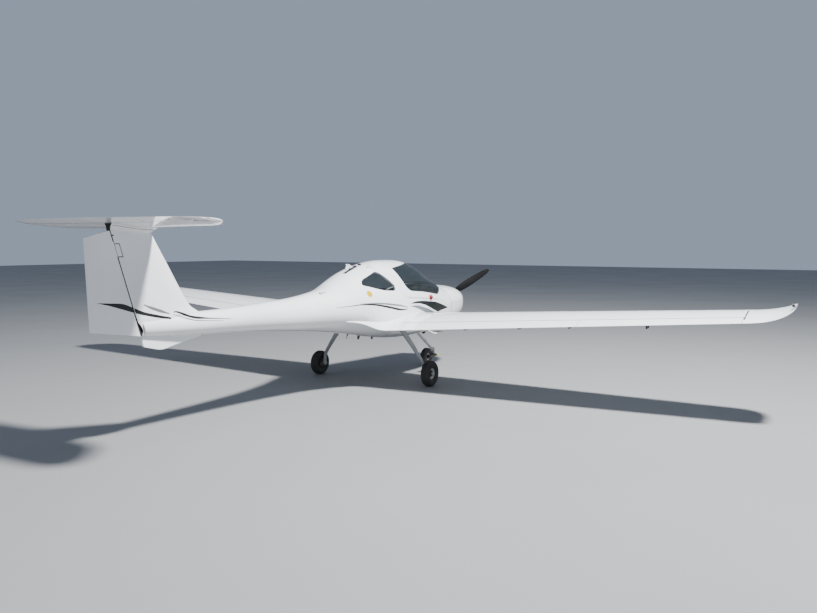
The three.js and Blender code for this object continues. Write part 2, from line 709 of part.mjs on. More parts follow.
function seat(side) {
  const middle = side * SEAT_X;
  const solid = sidePrism(SEAT_PROFILE, 0, middle - SEAT_WIDTH / 2, middle + SEAT_WIDTH / 2);
  return solid.intersect(fuselageForm(-2300, -500, WALL + SEAT_GAP, FLOOR_LIFT + SEAT_GAP));
}

function controlSticks() {
  const { y, z, gripLow, gripTop, tube, stick, grip, stand } = STICK;
  const sticks = [-SEAT_X, SEAT_X].map((x) => joined(
    bar([x, y, z], [x, y + 20, gripLow], stick, 10),
    bar([x, y + 20, gripLow], [x, y + 30, gripTop], grip, 10),
  ));
  const torque = bar([-SEAT_X - tube, y, z], [SEAT_X + tube, y, z], tube, 10);
  const stands = [-stand, stand].map((x) => box(30, 40, 200, x, y, z - 90));
  return joined(torque, ...sticks, ...stands)
    .intersect(fuselageForm(-2300, -500, WALL + SEAT_GAP, FLOOR_LIFT + SEAT_GAP));
}

// Landing gear

function legSection([x, y, z, chord, thick], next) {
  const lean = new THREE.Vector2(next[0] - x, next[2] - z).normalize();
  const loop = [];
  for (let i = 0; i < 12; i += 1) {
    const angle = (2 * Math.PI * i) / 12;
    const across = (Math.sin(angle) * thick) / 2;
    loop.push(new THREE.Vector3(x - lean.y * across, y + (Math.cos(angle) * chord) / 2, z + lean.x * across));
  }
  return loop;
}

function leftMainLeg() {
  const last = MAIN_LEG.length - 1;
  const loops = MAIN_LEG.map((row, i) => (i < last
    ? legSection(row, MAIN_LEG[i + 1])
    : legSection(row, [row[0] + 6, row[1], row[2] - 90])));
  const { x, y, radius } = MAIN_WHEEL;
  const leg = joined(
    loft(loops, 'z'),
    bar([840, y, radius], [x + 52, y, radius], AXLE, 20),
    bar([838, y, radius], [872, y, radius], HUB_FLANGE, 20),
  );
  return leg.subtract(grown).subtract(lowered(rootFairing().add(wingSolid)));
}

// The solid together with itself moved down by the seating gap
function lowered(solid) {
  return solid.add(toSolid(toGeometry(solid).translate(0, 0, -SEAT_GAP)));
}

function brake() {
  const { x, behind, thick, long, tall } = BRAKE;
  const { y, radius } = MAIN_WHEEL;
  const body = box(thick, long, tall, x, y + behind, radius);
  return body.subtract(bar([x - 50, y, radius], [x + 50, y, radius], HUB_FLANGE + SEAT_GAP, 20));
}

function step() {
  const parts = STEP_STRUT.slice(1).map((point, i) => bar(STEP_STRUT[i], point, STEP_TUBE, 12));
  const solid = joined(...parts, placed(new THREE.SphereGeometry(STEP_TUBE, 12, 6), ...STEP_STRUT[1]));
  const tread = box(...STEP_TREAD.size, ...STEP_TREAD.at);
  return joined(solid, tread).subtract(grown).subtract(lowered(rootFairing()));
}

function bellyAntenna() {
  const { foot, end, radius, base } = ANTENNA;
  const bottom = stationAt(foot[1])[1];
  const whip = bar(foot, end, radius, 10);
  const disc = bar([foot[0], foot[1], bottom - 6], [foot[0], foot[1], foot[2]], base, 12);
  return joined(whip, disc).subtract(grown);
}

function tyre({ radius, width, rim }) {
  const inner = rim + SEAT_GAP;
  const half = width / 2;
  const crown = radius - 4;
  const profile = [
    [inner, -half * 0.62], [inner + 10, -half * 0.8], [rim + (radius - rim) * 0.45, -half],
    [radius - 26, -half * 0.93], [crown - 8, -half * 0.7], [radius, -half * 0.3],
    [radius, half * 0.3], [crown - 8, half * 0.7], [radius - 26, half * 0.93],
    [rim + (radius - rim) * 0.45, half], [inner + 10, half * 0.8], [inner, half * 0.62],
    [inner, -half * 0.62],
  ];
  return turned(profile);
}

// A turned wheel part whose sides are flats at the stated radii, one flat at the bottom
function turned(rows) {
  const half = Math.PI / WHEEL_SIDES;
  return new THREE.LatheGeometry(rows.map(([r, h]) => new THREE.Vector2(r / Math.cos(half), h)), WHEEL_SIDES, half);
}

function rim({ width, rim: outerRadius }, disc) {
  const half = width * 0.31;
  const bore = AXLE + SEAT_GAP;
  const rows = [
    [bore, -half - 6], [40, -half - 6], [44, -12], [outerRadius - 14, -12], [outerRadius - 10, -half],
    [outerRadius, -half], [outerRadius, half], [outerRadius - 10, half], [outerRadius - 14, 14],
    [34, 14], [30, half], [bore, half], [bore, -half - 6],
  ];
  const discAt = -width * 0.47;
  if (disc) {
    const plate = [[bore, discAt], [BRAKE_DISC, discAt], [BRAKE_DISC, discAt + 5], [44, discAt + 5], [44, -12]];
    rows.splice(0, 3, ...plate);
  }
  if (disc) rows[rows.length - 1] = [bore, discAt];
  return turned(rows);
}

function nosePivotHousing() {
  const { y, low, high, radius, pin } = NOSE_PIVOT;
  const tube = joined(
    bar(NOSE_LEG_TOP, NOSE_LEG_FOOT, NOSE_TUBE, 16),
    bar([0, y, low + SEAT_GAP], [0, y, high], radius, 20),
  );
  return tube.subtract(bar([0, y, low - 5], [0, y, high - 20], pin + SEAT_GAP, 20)).subtract(grown);
}

function noseFork() {
  const { y, low, high, radius, pin } = NOSE_PIVOT;
  const arm = NOSE_WHEEL.width / 2 + 8;
  const crown = joined(
    bar([0, y, low - 34], [0, y, low], radius, 20),
    bar([0, y, low - 10], [0, y, high - 22], pin, 20),
    box(2 * arm + 24, 30, 34, 0, y + 14, low - 17),
  );
  const sides = [-1, 1].map((side) => joined(
    box(12, NOSE_WHEEL.y - y + 12, 34, side * (arm + 6), (NOSE_WHEEL.y + y) / 2 + 6, low - 17),
    bar([side * (arm + 14), NOSE_WHEEL.y, NOSE_WHEEL.radius], [side * arm, NOSE_WHEEL.y, NOSE_WHEEL.radius], 26, 16),
  ));
  const axle = bar(
    [-arm - 12, NOSE_WHEEL.y, NOSE_WHEEL.radius], [arm + 12, NOSE_WHEEL.y, NOSE_WHEEL.radius], AXLE, 20,
  );
  return joined(crown, ...sides, axle);
}

// Propeller and spinner

function blade(grow, turn) {
  const loops = BLADE.map(([r, chord, thick, pitch]) => {
    const angle = THREE.MathUtils.degToRad(pitch);
    const loop = [];
    for (let i = 0; i < 12; i += 1) {
      const around = (2 * Math.PI * i) / 12;
      const along = (Math.cos(around) * (chord + 2 * grow)) / 2;
      const across = (Math.sin(around) * (thick + 2 * grow)) / 2;
      loop.push(new THREE.Vector3(
        along * Math.cos(angle) - across * Math.sin(angle),
        along * Math.sin(angle) + across * Math.cos(angle), r,
      ));
    }
    return loop;
  });
  const geometry = toGeometry(loft(loops, 'z'));
  geometry.rotateY(turn);
  geometry.translate(0, HUB.y, HUB.z);
  return toSolid(geometry);
}

function propellerParts() {
  const lean = -THREE.MathUtils.degToRad(BLADE_ANGLE);
  const turns = [lean, lean + Math.PI];
  const hubBar = (grow) => bar([0, HUB.y - 36 - grow, HUB.z], [0, HUB.y + 36 + grow, HUB.z], 58 + grow, 24);
  const shaft = (grow) => bar([0, HUB.y, HUB.z], [0, ENGINE.front - SEAT_GAP, HUB.z], 34 + grow, 20);
  const { baseY, tipY, radius } = SPINNER;
  const profile = [[0, 0], [radius, 0], [radius, 12]];
  for (let i = 1; i < 6; i += 1) {
    const t = i / 6;
    profile.push([radius * Math.sqrt(1 - t ** 1.8), 12 + (baseY - tipY - 12) * t]);
  }
  profile.push([0, baseY - tipY]);
  const cone = new THREE.LatheGeometry(profile.map(([r, h]) => new THREE.Vector2(r, h)), 20);
  let spinner = placed(cone, 0, baseY, HUB.z, Math.PI, 0, 0);
  spinner = spinner.subtract(hubBar(SEAT_GAP)).subtract(shaft(SEAT_GAP));
  turns.forEach((turn) => { spinner = spinner.subtract(blade(SEAT_GAP, turn)); });
  return { propeller: joined(hubBar(0), shaft(0), ...turns.map((turn) => blade(0, turn))), spinner };
}

const ENGINE = { front: -3130, back: FIREWALL_Y - FIREWALL_THICK - SEAT_GAP, half: 290, low: 870, high: 1170 };

// The assembly

const group = new THREE.Group();

function addPiece(name, solid, material) {
  const mesh = new THREE.Mesh(solid.isBufferGeometry ? solid : toGeometry(solid), material);
  mesh.name = name;
  group.add(mesh);
  return mesh;
}

function addPair(name, solid, material) {
  addPiece(`${name}_left`, solid, material());
  addPiece(`${name}_right`, mirrored(solid), material());
}

const wingSolid = leftWing();
addPair('wing', wingSolid, white);
addPair('wing_tip', leftWingTip(), white);
addPair('flap', flap.solid, white);
addPair('aileron', aileron.solid, white);

addPiece('fuselage', fuselage(), white());
addPiece('cowl_upper', cowl.intersect(above(COWL_SPLIT_Z + SEAT_GAP / 2)), white());
addPiece('cowl_lower', cowl.subtract(above(COWL_SPLIT_Z - SEAT_GAP / 2)), white());
addPiece('firewall', outer.intersect(slab(FIREWALL_Y - FIREWALL_THICK, FIREWALL_Y - SEAT_GAP)), alloy());
addPiece('engine_block', box(
  2 * ENGINE.half, ENGINE.back - ENGINE.front, ENGINE.high - ENGINE.low,
  0, (ENGINE.back + ENGINE.front) / 2, (ENGINE.high + ENGINE.low) / 2,
), paint(0x3b3d3f, 0.6, 0.5));

addPiece('canopy_frame', canopyFrame(), white());
addPiece('canopy_glass', pane(GLASS_OUTLINE, -700, 700), tinted());
addPiece('rear_window_left', pane(REAR_WINDOW_OUTLINE, 20, 700), tinted());
addPiece('rear_window_right', pane(REAR_WINDOW_OUTLINE, -700, -20), tinted());
addPiece('instrument_panel', instrumentPanel(), darkPlastic());
addPiece('seat_left', seat(1), paint(0x4a4c50, 0.8));
addPiece('seat_right', seat(-1), paint(0x4a4c50, 0.8));
addPiece('control_sticks', controlSticks(), darkPlastic());

const rudderHinges = RUDDER_HINGES.map(rudderHinge);
const rudderPrism = prism(RUDDER_OUTLINE.map(([y, z]) => new THREE.Vector2(y, z)), -200, 200);
const rudderForm = finForm.intersect(rudderPrism).intersect(rudderRoom(0));
addPiece('rudder', rudderHinges.reduce((solid, hinge) => solid.subtract(hinge.notch), rudderForm), white());
const stabiliserGrown = stabiliserForm(SEAT_GAP);
const fin = finForm.subtract(rudderRoom(RUDDER_GAP)).subtract(grown).subtract(stabiliserGrown)
  .subtract(elevatorRoom(MOVING_GAP))
  .intersect(box(400, 3000, 1000, 0, 2500, 1650));
addPiece('fin', joined(fin, ...rudderHinges.map((hinge) => hinge.arm)), white());
const ventral = prism(VENTRAL_OUTLINE.map(([y, z]) => new THREE.Vector2(y, z)), -VENTRAL_THICK / 2, VENTRAL_THICK / 2);
addPiece('ventral_fin', ventral.subtract(grown).subtract(rudderRoom(RUDDER_GAP)), white());

// The elevator turns about a line across the tail; its middle is notched for the fin's top
function elevatorRoom(gap) {
  const loops = [-1600, 1600].map((x) => {
    const points = [[400, 200], [0, 200]];
    for (let i = 0; i <= 12; i += 1) {
      const angle = Math.PI / 2 + (i / 12) * Math.PI;
      points.push([Math.cos(angle) * (ELEVATOR_NOSE + gap), Math.sin(angle) * (ELEVATOR_NOSE + gap)]);
    }
    points.push([0, -200], [400, -200]);
    return points.map(([dy, dz]) => onTailplane(x, dy, dz));
  });
  return loft(loops, 'x');
}

const horizontal = stabiliserForm(0);
const elevatorHinges = ELEVATOR_HINGES.map(elevatorHinge);
const stabiliser = horizontal.subtract(elevatorRoom(MOVING_GAP));
const elevatorForm = horizontal.intersect(elevatorRoom(0));
addPiece('stabiliser', joined(stabiliser, ...elevatorHinges.map((hinge) => hinge.arm)), white());
addPiece('elevator', elevatorHinges.reduce((solid, hinge) => solid.subtract(hinge.notch), elevatorForm), white());

addPair('main_leg', leftMainLeg(), greyLeg);
addPair('brake', brake(), darkPlastic);
addPair('step', step(), white);
addPiece('exhaust', exhaustPipe(), paint(0x2b2a29, 0.6, 0.7));
addPiece('belly_antenna', bellyAntenna(), darkPlastic());
addPiece('pitot_tube', pitotTube(), white());
addPiece('nose_leg', nosePivotHousing(), greyLeg());
addPiece('nose_fork', noseFork(), greyLeg());

const wheels = [
  ['left', MAIN_WHEEL, MAIN_WHEEL.x, MAIN_WHEEL.y, 1, true],
  ['right', MAIN_WHEEL, -MAIN_WHEEL.x, MAIN_WHEEL.y, -1, true],
  ['nose', NOSE_WHEEL, 0, NOSE_WHEEL.y, 1, false],
];
wheels.forEach(([side, size, x, y, turn, disc]) => {
  addPiece(`tyre_${side}`, placed(tyre(size), x, y, size.radius, 0, 0, (-turn * Math.PI) / 2), rubber());
  addPiece(`rim_${side}`, placed(rim(size, disc), x, y, size.radius, 0, 0, (-turn * Math.PI) / 2), alloy());
});

const { propeller, spinner } = propellerParts();
addPiece('propeller', propeller, paint(0x141516, 0.35));
addPiece('spinner', spinner, white());

export default group;
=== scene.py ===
# Two-seat light aircraft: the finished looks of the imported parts.
# Tables are in millimetres, as in the part's source; a piece becomes metres when it is placed.
import itertools
import math

import bpy
import numpy as np
from mathutils import Matrix, Vector
from mathutils.geometry import delaunay_2d_cdt, tessellate_polygon


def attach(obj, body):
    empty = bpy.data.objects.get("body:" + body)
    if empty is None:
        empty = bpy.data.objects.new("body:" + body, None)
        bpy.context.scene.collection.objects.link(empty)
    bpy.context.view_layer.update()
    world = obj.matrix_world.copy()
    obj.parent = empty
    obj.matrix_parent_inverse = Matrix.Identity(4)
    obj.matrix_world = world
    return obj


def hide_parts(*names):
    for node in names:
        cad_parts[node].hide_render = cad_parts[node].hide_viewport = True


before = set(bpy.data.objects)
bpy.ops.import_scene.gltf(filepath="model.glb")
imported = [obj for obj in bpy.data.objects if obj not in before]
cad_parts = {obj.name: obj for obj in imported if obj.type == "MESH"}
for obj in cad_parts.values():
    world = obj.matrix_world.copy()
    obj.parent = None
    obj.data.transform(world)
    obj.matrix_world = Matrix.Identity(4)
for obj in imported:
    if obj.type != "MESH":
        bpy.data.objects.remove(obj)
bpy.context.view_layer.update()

# Fuselage stations: y, bottom, waist, top, half width, fullness above, below
STATIONS = [
    (-3300, 850, 1040, 1195, 262, 2.3, 2.3),
    (-3240, 800, 1035, 1228, 332, 2.4, 2.3),
    (-3150, 748, 1028, 1256, 398, 2.5, 2.3),
    (-3000, 692, 1018, 1282, 454, 2.5, 2.3),
    (-2750, 645, 1000, 1305, 495, 2.5, 2.4),
    (-2500, 615, 986, 1330, 518, 2.4, 2.4),
    (-2440, 611, 986, 1348, 523, 2.35, 2.4),
    (-2300, 600, 990, 1425, 533, 2.2, 2.4),
    (-2100, 589, 1000, 1530, 545, 2.1, 2.4),
    (-1900, 580, 1015, 1632, 552, 2.1, 2.4),
    (-1750, 577, 1028, 1688, 556, 2.1, 2.4),
    (-1600, 579, 1037, 1714, 559, 2.1, 2.4),
    (-1400, 587, 1047, 1722, 560, 2.1, 2.4),
    (-1100, 614, 1060, 1714, 558, 2.1, 2.4),
    (-800, 658, 1070, 1668, 542, 2.1, 2.4),
    (-500, 712, 1078, 1588, 500, 2.1, 2.3),
    (-250, 757, 1080, 1490, 443, 2.1, 2.2),
    (0, 796, 1080, 1395, 375, 2.1, 2.1),
    (250, 828, 1080, 1345, 310, 2.05, 2),
    (700, 878, 1082, 1294, 228, 2, 2),
    (1200, 925, 1094, 1268, 178, 2, 2),
    (1800, 968, 1106, 1243, 142, 2, 2),
    (2400, 1002, 1118, 1236, 112, 2, 2),
    (2990, 1048, 1134, 1220, 68, 2, 2),
]
NOSE_FACE_Y = -3300
NOSE_ROUND = 24
FIREWALL_Y = -2520
COWL_AFT_Y = -2531
COWL_SPLIT_Z = 1040
COWL_WALL = 8
CABIN_AFT_Y = -60
WALL = 25
FLOOR_LIFT = 75
TAIL_END_Y = 2990
GIRTH = 450
TOP_ANGLE = math.pi / 2

# Side-view lines as y, z, rounding; the first three run from the top on one side back to the top
CANOPY_LINE = [
    (-735, 2000, 0), (-735, 1655, 20), (-904, 1473, 60), (-1053, 1246, 60), (-1150, 1203, 60),
    (-2110, 1122, 60), (-2420, 1290, 60), (-2520, 1460, 0), (-2520, 2000, 0),
]
GLASS_LINE = [
    (-1900, 1705, 0), (-1095, 1618, 25), (-1119, 1480, 60), (-1172, 1352, 70), (-1262, 1292, 60),
    (-1640, 1262, 200), (-2085, 1198, 50), (-2385, 1330, 60), (-2490, 1480, 0), (-2490, 1900, 0),
]
REAR_WINDOW_LINE = [
    (-335, 1408, 40), (-410, 1478, 60), (-742, 1585, 40), (-912, 1385, 40), (-890, 1312, 35),
    (-640, 1328, 120),
]
CANOPY_GAP = 4
GLASS_SINK = 1.5
GLASS_THICK = 6
CANOPY_HINGE = {"y": -716, "z": 1668, "x": 180, "pin": 8, "long": 34}

# Wing: values on the centreline and their change for each millimetre of span
WING = {
    "root": 620, "tip": 5000, "te_y": -426, "te_sweep": -0.088, "te_z": 765, "dihedral": 0.0699,
    "chord": 1281, "taper": -0.1055, "incidence": 0.0523, "thick": 0.145, "camber": 0.035,
}
# Wing root fairing: x, leading edge y, z, trailing edge y, z, thickness, camber
ROOT_FAIRING = [
    (250, -1840, 850, 120, 970, 150, 0.02),
    (335, -1820, 858, 20, 951, 160, 0.02),
    (385, -1790, 864, -100, 937, 168, 0.02),
    (440, -1755, 868, -250, 900, 174, 0.02),
    (520, -1720, 871, -430, 825, 177, 0.025),
    (620, -1696.2, 871.9, -480.6, 808.3, 176.3, 0.035),
]
# Upturned wing tip: share of the way out, x, leading edge y, trailing edge y, lift
WING_TIP = [
    (0, 5000.3, -1619, -866, 0),
    (0.25, 5130, -1602, -871, 8),
    (0.48, 5250, -1550, -882, 32),
    (0.67, 5340, -1465, -897, 68),
    (0.82, 5400, -1350, -915, 110),
    (0.93, 5428, -1210, -935, 145),
    (1, 5435, -1080, -955, 168),
]
FLAP = {"from": 700, "to": 3120, "hinges": (900, 1610, 2340, 2980)}
AILERON = {"from": 3140, "to": 4915, "hinges": (3290, 3890, 4760)}
HINGE_CHORD = 0.78
HINGE_DROP = 8
HINGE_ARM = 12
HINGE_ROOM = 26
HINGE_PIN = 5
SURFACE_GAP = 3
RIB_GAP = 6

# Tailplane: x, leading edge y, trailing edge y; it is set nose down about the elevator's hinge line
STABILISER_Z = 2164
STABILISER_SET = 4.5
STABILISER = [
    (0, 2790, 3560), (500, 2837.5, 3536.5), (1000, 2885, 3513), (1110, 2950, 3502), (1190, 3035, 3482),
    (1260, 3108, 3443), (1305, 3180, 3405), (1325, 3260, 3360),
]
STABILISER_TIP = (1283, 43)
STABILISER_THICK = 0.099
ELEVATOR_HINGE_Y = 3330
ELEVATOR_HINGES = (480, 1150)
# Fin: z, leading edge y, trailing edge y, thickness
FIN = [
    (1040, 2100, 3536, 112),
    (1236, 2225, 3545, 112),
    (1316, 2350, 3549, 108),
    (1783, 2655, 3567, 90),
    (2045, 2818, 3584, 78),
    (2160, 2885, 3586, 72),
]
RUDDER_AXIS = {"low": (3008, 1040), "high": (3318, 2060)}
RUDDER_HINGES = (1330, 1860)
RUDDER_GAP = 12
RUDDER_BOTTOM = ((3045, 1053), (3545, 1135))
RUDDER_TOP = ((3326, 2070), (3580, 1997))
VENTRAL_LINE = [
    (2180, 1060), (2200, 975), (2417, 940), (2690, 887), (2760, 887), (2966, 940), (2975, 1090),
]
VENTRAL_THICK = 26

# Landing gear
MAIN_WHEEL = {"x": 950, "y": -1077, "radius": 178, "width": 124, "rim": 72}
NOSE_WHEEL = {"x": 0, "y": -2645, "radius": 142, "width": 108, "rim": 56}
AXLE = 14
BRAKE = {"x": 873, "behind": 60, "thick": 18, "long": 76, "tall": 70}
BRAKE_DISC = 78
# x, y, z, chord, thickness down the main leg
MAIN_LEG = [
    (380, -1040, 930, 165, 30),
    (570, -1050, 695, 140, 28),
    (700, -1060, 523, 112, 26),
    (822, -1070, 345, 80, 24),
    (850, -1075, 262, 66, 24),
    (856, -1077, 160, 60, 22),
]
NOSE_PIVOT = {"y": -2868, "low": 172, "high": 262, "radius": 23}
NOSE_LEG_TOP = (0, -2230, 640)
NOSE_LEG_FOOT = (0, -2862, 222)
NOSE_TUBE = 19
STEP_STRUT = [
    (440, -1620, 780), (520, -1735, 704), (585, -1815, 644), (600, -1858, 635),
    (600, -1920, 639), (600, -1985, 640),
]
STEP_TREAD = {"x": 600, "y": -1950, "base": 652.2, "pad": 656.2, "ribs": 657.4, "rib_step": 15}

# Propeller
HUB = {"y": -3384, "z": 1085, "shaft_end": -3131}
BLADE_ANGLE = 58.6
# radius, chord, thickness, pitch in degrees
BLADE = [
    (30, 66, 52, 60), (110, 76, 40, 55), (200, 108, 26, 45), (340, 126, 18, 34), (520, 120, 13, 25),
    (700, 98, 10, 19), (810, 72, 8, 16), (860, 44, 6, 15), (874, 16, 4, 15),
]
SPINNER = {"base": -3316, "tip": -3580, "radius": 132}

# Cabin
SEAT_X = 245
SEAT_WIDTH = 430
SEAT_OUTLINE = [
    (-1800, 722), (-1796, 800), (-1420, 762), (-1120, 1308), (-1062, 1300), (-1292, 792), (-1292, 722),
]
# Cushion and back: name, how much narrower than the seat, length, thickness, y, z, lean in degrees
SEAT_PADS = (("cushion", 34, 372, 66, -1604, 812, -6.5), ("back", 40, 520, 56, -1296, 1052, 59.5))
CUSHION_PULL = 0.025
CUSHION_CHANNELS = (-0.55, 0.55)
BELT_HALF = 22.0
# Shoulder belt: share of its distance from the seat's middle, y, z; lap belt: x from the middle, y, z
SHOULDER_BELT = [
    (1, -1060, 1322), (1, -1110, 1326), (1, -1180, 1240),
    (0.9, -1330, 1000), (0.6, -1440, 868), (0.3, -1500, 846),
]
SHOULDER_SPREAD = 78
LAP_BELT = [(-200, -1420, 800), (-150, -1470, 842), (0, -1505, 852), (150, -1470, 842), (200, -1420, 800)]
BUCKLE = (-1505, 858)


# Small geometry helpers

UP = (0, 0, 1)
DOWN = (0, 0, -1)
AHEAD = (0, -1, 0)
AFT = (0, 1, 0)
LEFT = (1, 0, 0)
UPRIGHT = np.eye(3)
SHARP_ANGLE = 34


def unit(vectors):
    length = np.linalg.norm(vectors, axis=-1, keepdims=True)
    return vectors / np.maximum(length, 1e-9)


def smooth(table, at):
    """Rows of a table, read smoothly at values of its first column"""
    rows = np.array(table, float)
    at = np.atleast_1d(np.asarray(at, float))
    last = len(rows) - 1
    here = np.arange(last + 1)
    ahead = np.minimum(here + 1, last)
    behind = np.maximum(here - 1, 0)
    slope = (rows[ahead] - rows[behind]) / (rows[ahead, 0] - rows[behind, 0])[:, None]
    high = np.clip(np.searchsorted(rows[:, 0], at), 1, last)
    low = high - 1
    span = (rows[high, 0] - rows[low, 0])[:, None]
    t = (at[:, None] - rows[low, :1]) / span
    start = (2 * t**3 - 3 * t**2 + 1) * rows[low] + (t**3 - 2 * t**2 + t) * span * slope[low]
    return start + (3 * t**2 - 2 * t**3) * rows[high] + (t**3 - t**2) * span * slope[high]


def spots(x, y, z):
    """Points from coordinates that are arrays or single numbers"""
    return np.stack(np.broadcast_arrays(x, y, z), axis=-1).astype(float)


def full_turn(count):
    """Angles all the way round"""
    return 2 * np.pi * np.arange(count) / count


def straight(table, at):
    """Rows of a table, read on straight lines at values of its first column"""
    rows = np.array(table, float)
    return np.stack([np.interp(np.ravel(at), rows[:, 0], column) for column in rows.T], axis=1)


def rounded(corners, closed, arc_steps=8):
    """A polyline whose corners (y, z, rounding) are rounded"""
    points = np.array([c[:2] for c in corners], float)
    path = []
    last = len(corners) - 1
    for i, corner in enumerate(corners):
        here, before, after = points[i], points[i - 1], points[(i + 1) % len(corners)]
        if corner[2] == 0 or (not closed and i in (0, last)):
            path.append(here)
            continue
        enter, leave = (
            here + unit(end - here) * min(corner[2], 0.45 * np.linalg.norm(end - here))
            for end in (before, after)
        )
        for t in np.linspace(0, 1, arc_steps + 1):
            path.append((1 - t) ** 2 * enter + 2 * t * (1 - t) * here + t**2 * leave)
    return np.array(path)


def run_length(path):
    """How far along a polyline each of its points lies"""
    return np.concatenate([[0], np.cumsum(np.linalg.norm(np.diff(path, axis=0), axis=1))])


def resampled(path, step, closed):
    """The polyline again with about even spacing"""
    path = np.asarray(path, float)
    if closed:
        path = np.vstack([path, path[:1]])
    length = run_length(path)
    count = max(3, math.ceil(length[-1] / step))
    at = np.linspace(0, length[-1], count + 1)
    if closed:
        at = at[:-1]
    return np.stack([np.interp(at, length, column) for column in path.T], axis=1)


def offset_path(path, distance):
    """The open polyline moved sideways; a positive distance goes to its right"""
    ahead = np.vstack([path[1:], path[-1:]])
    behind = np.vstack([path[:1], path[:-1]])
    along = unit(ahead - behind)
    return path + distance * np.stack([along[:, 1], -along[:, 0]], axis=1)


def inside(points, loop):
    """Which points lie inside a flat closed loop"""
    x, y = points[:, :1], points[:, 1:2]
    ax, ay = loop[:, 0], loop[:, 1]
    bx, by = np.roll(ax, -1), np.roll(ay, -1)
    between = (ay > y) != (by > y)
    with np.errstate(divide="ignore", invalid="ignore"):
        crossing = ax + (y - ay) / (by - ay) * (bx - ax)
    return (np.sum(between & (x < crossing), axis=1) % 2) == 1


def region(outer, holes=(), step=45.0, line=None, keep=None, extra=()):
    """Triangles over a flat outline with holes: the points and the triangles"""
    points = [tuple(p) for p in extra]
    edges = []
    for loop in (outer, *holes):
        first, count = len(points), len(loop)
        points.extend(loop)
        edges.extend((first + i, first + (i + 1) % count) for i in range(count))
    border = np.array(points)
    if line is not None:
        edges.append((len(points), len(points) + 1))
        points.extend(line)

    def covered(places):
        good = inside(places, np.asarray(outer))
        for hole in holes:
            good &= ~inside(places, np.asarray(hole))
        return good

    low, high = border.min(0), border.max(0)
    across = np.arange(low[0], high[0], step)
    up = np.arange(low[1], high[1], step * 0.866)
    grid = np.array([(a + (k % 2) * step / 2, b) for k, b in enumerate(up) for a in across])
    if len(grid):
        grid = grid[covered(grid)]
        near = np.array([np.min(np.sum((border - p) ** 2, axis=1)) for p in grid])
        points.extend(grid[near > (0.42 * step) ** 2] if len(grid) else grid)
    made = delaunay_2d_cdt([Vector(p) for p in points], edges, [], 0, 1e-5)
    flat = np.array([tuple(v) for v in made[0]])
    triangles = np.array(made[2])
    middle = flat[triangles].mean(axis=1)
    good = covered(middle)
    if keep is not None:
        good &= keep(middle)
    return flat, triangles[good]


def tangents(points, axis, around):
    """Directions along one axis of a grid of points"""
    p = np.moveaxis(points, axis, 0)
    ahead = np.roll(p, -1, 0) - p
    behind = p - np.roll(p, 1, 0)
    if not around:
        ahead[-1] = behind[-1]
        behind[0] = ahead[0]
    a = np.linalg.norm(ahead, axis=-1, keepdims=True) + 1e-9
    b = np.linalg.norm(behind, axis=-1, keepdims=True) + 1e-9
    return np.moveaxis(ahead / a * b / (a + b) + behind / b * a / (a + b), 0, axis)


def turn_about(axis, degrees):
    return np.array(Matrix.Rotation(math.radians(degrees), 3, axis))


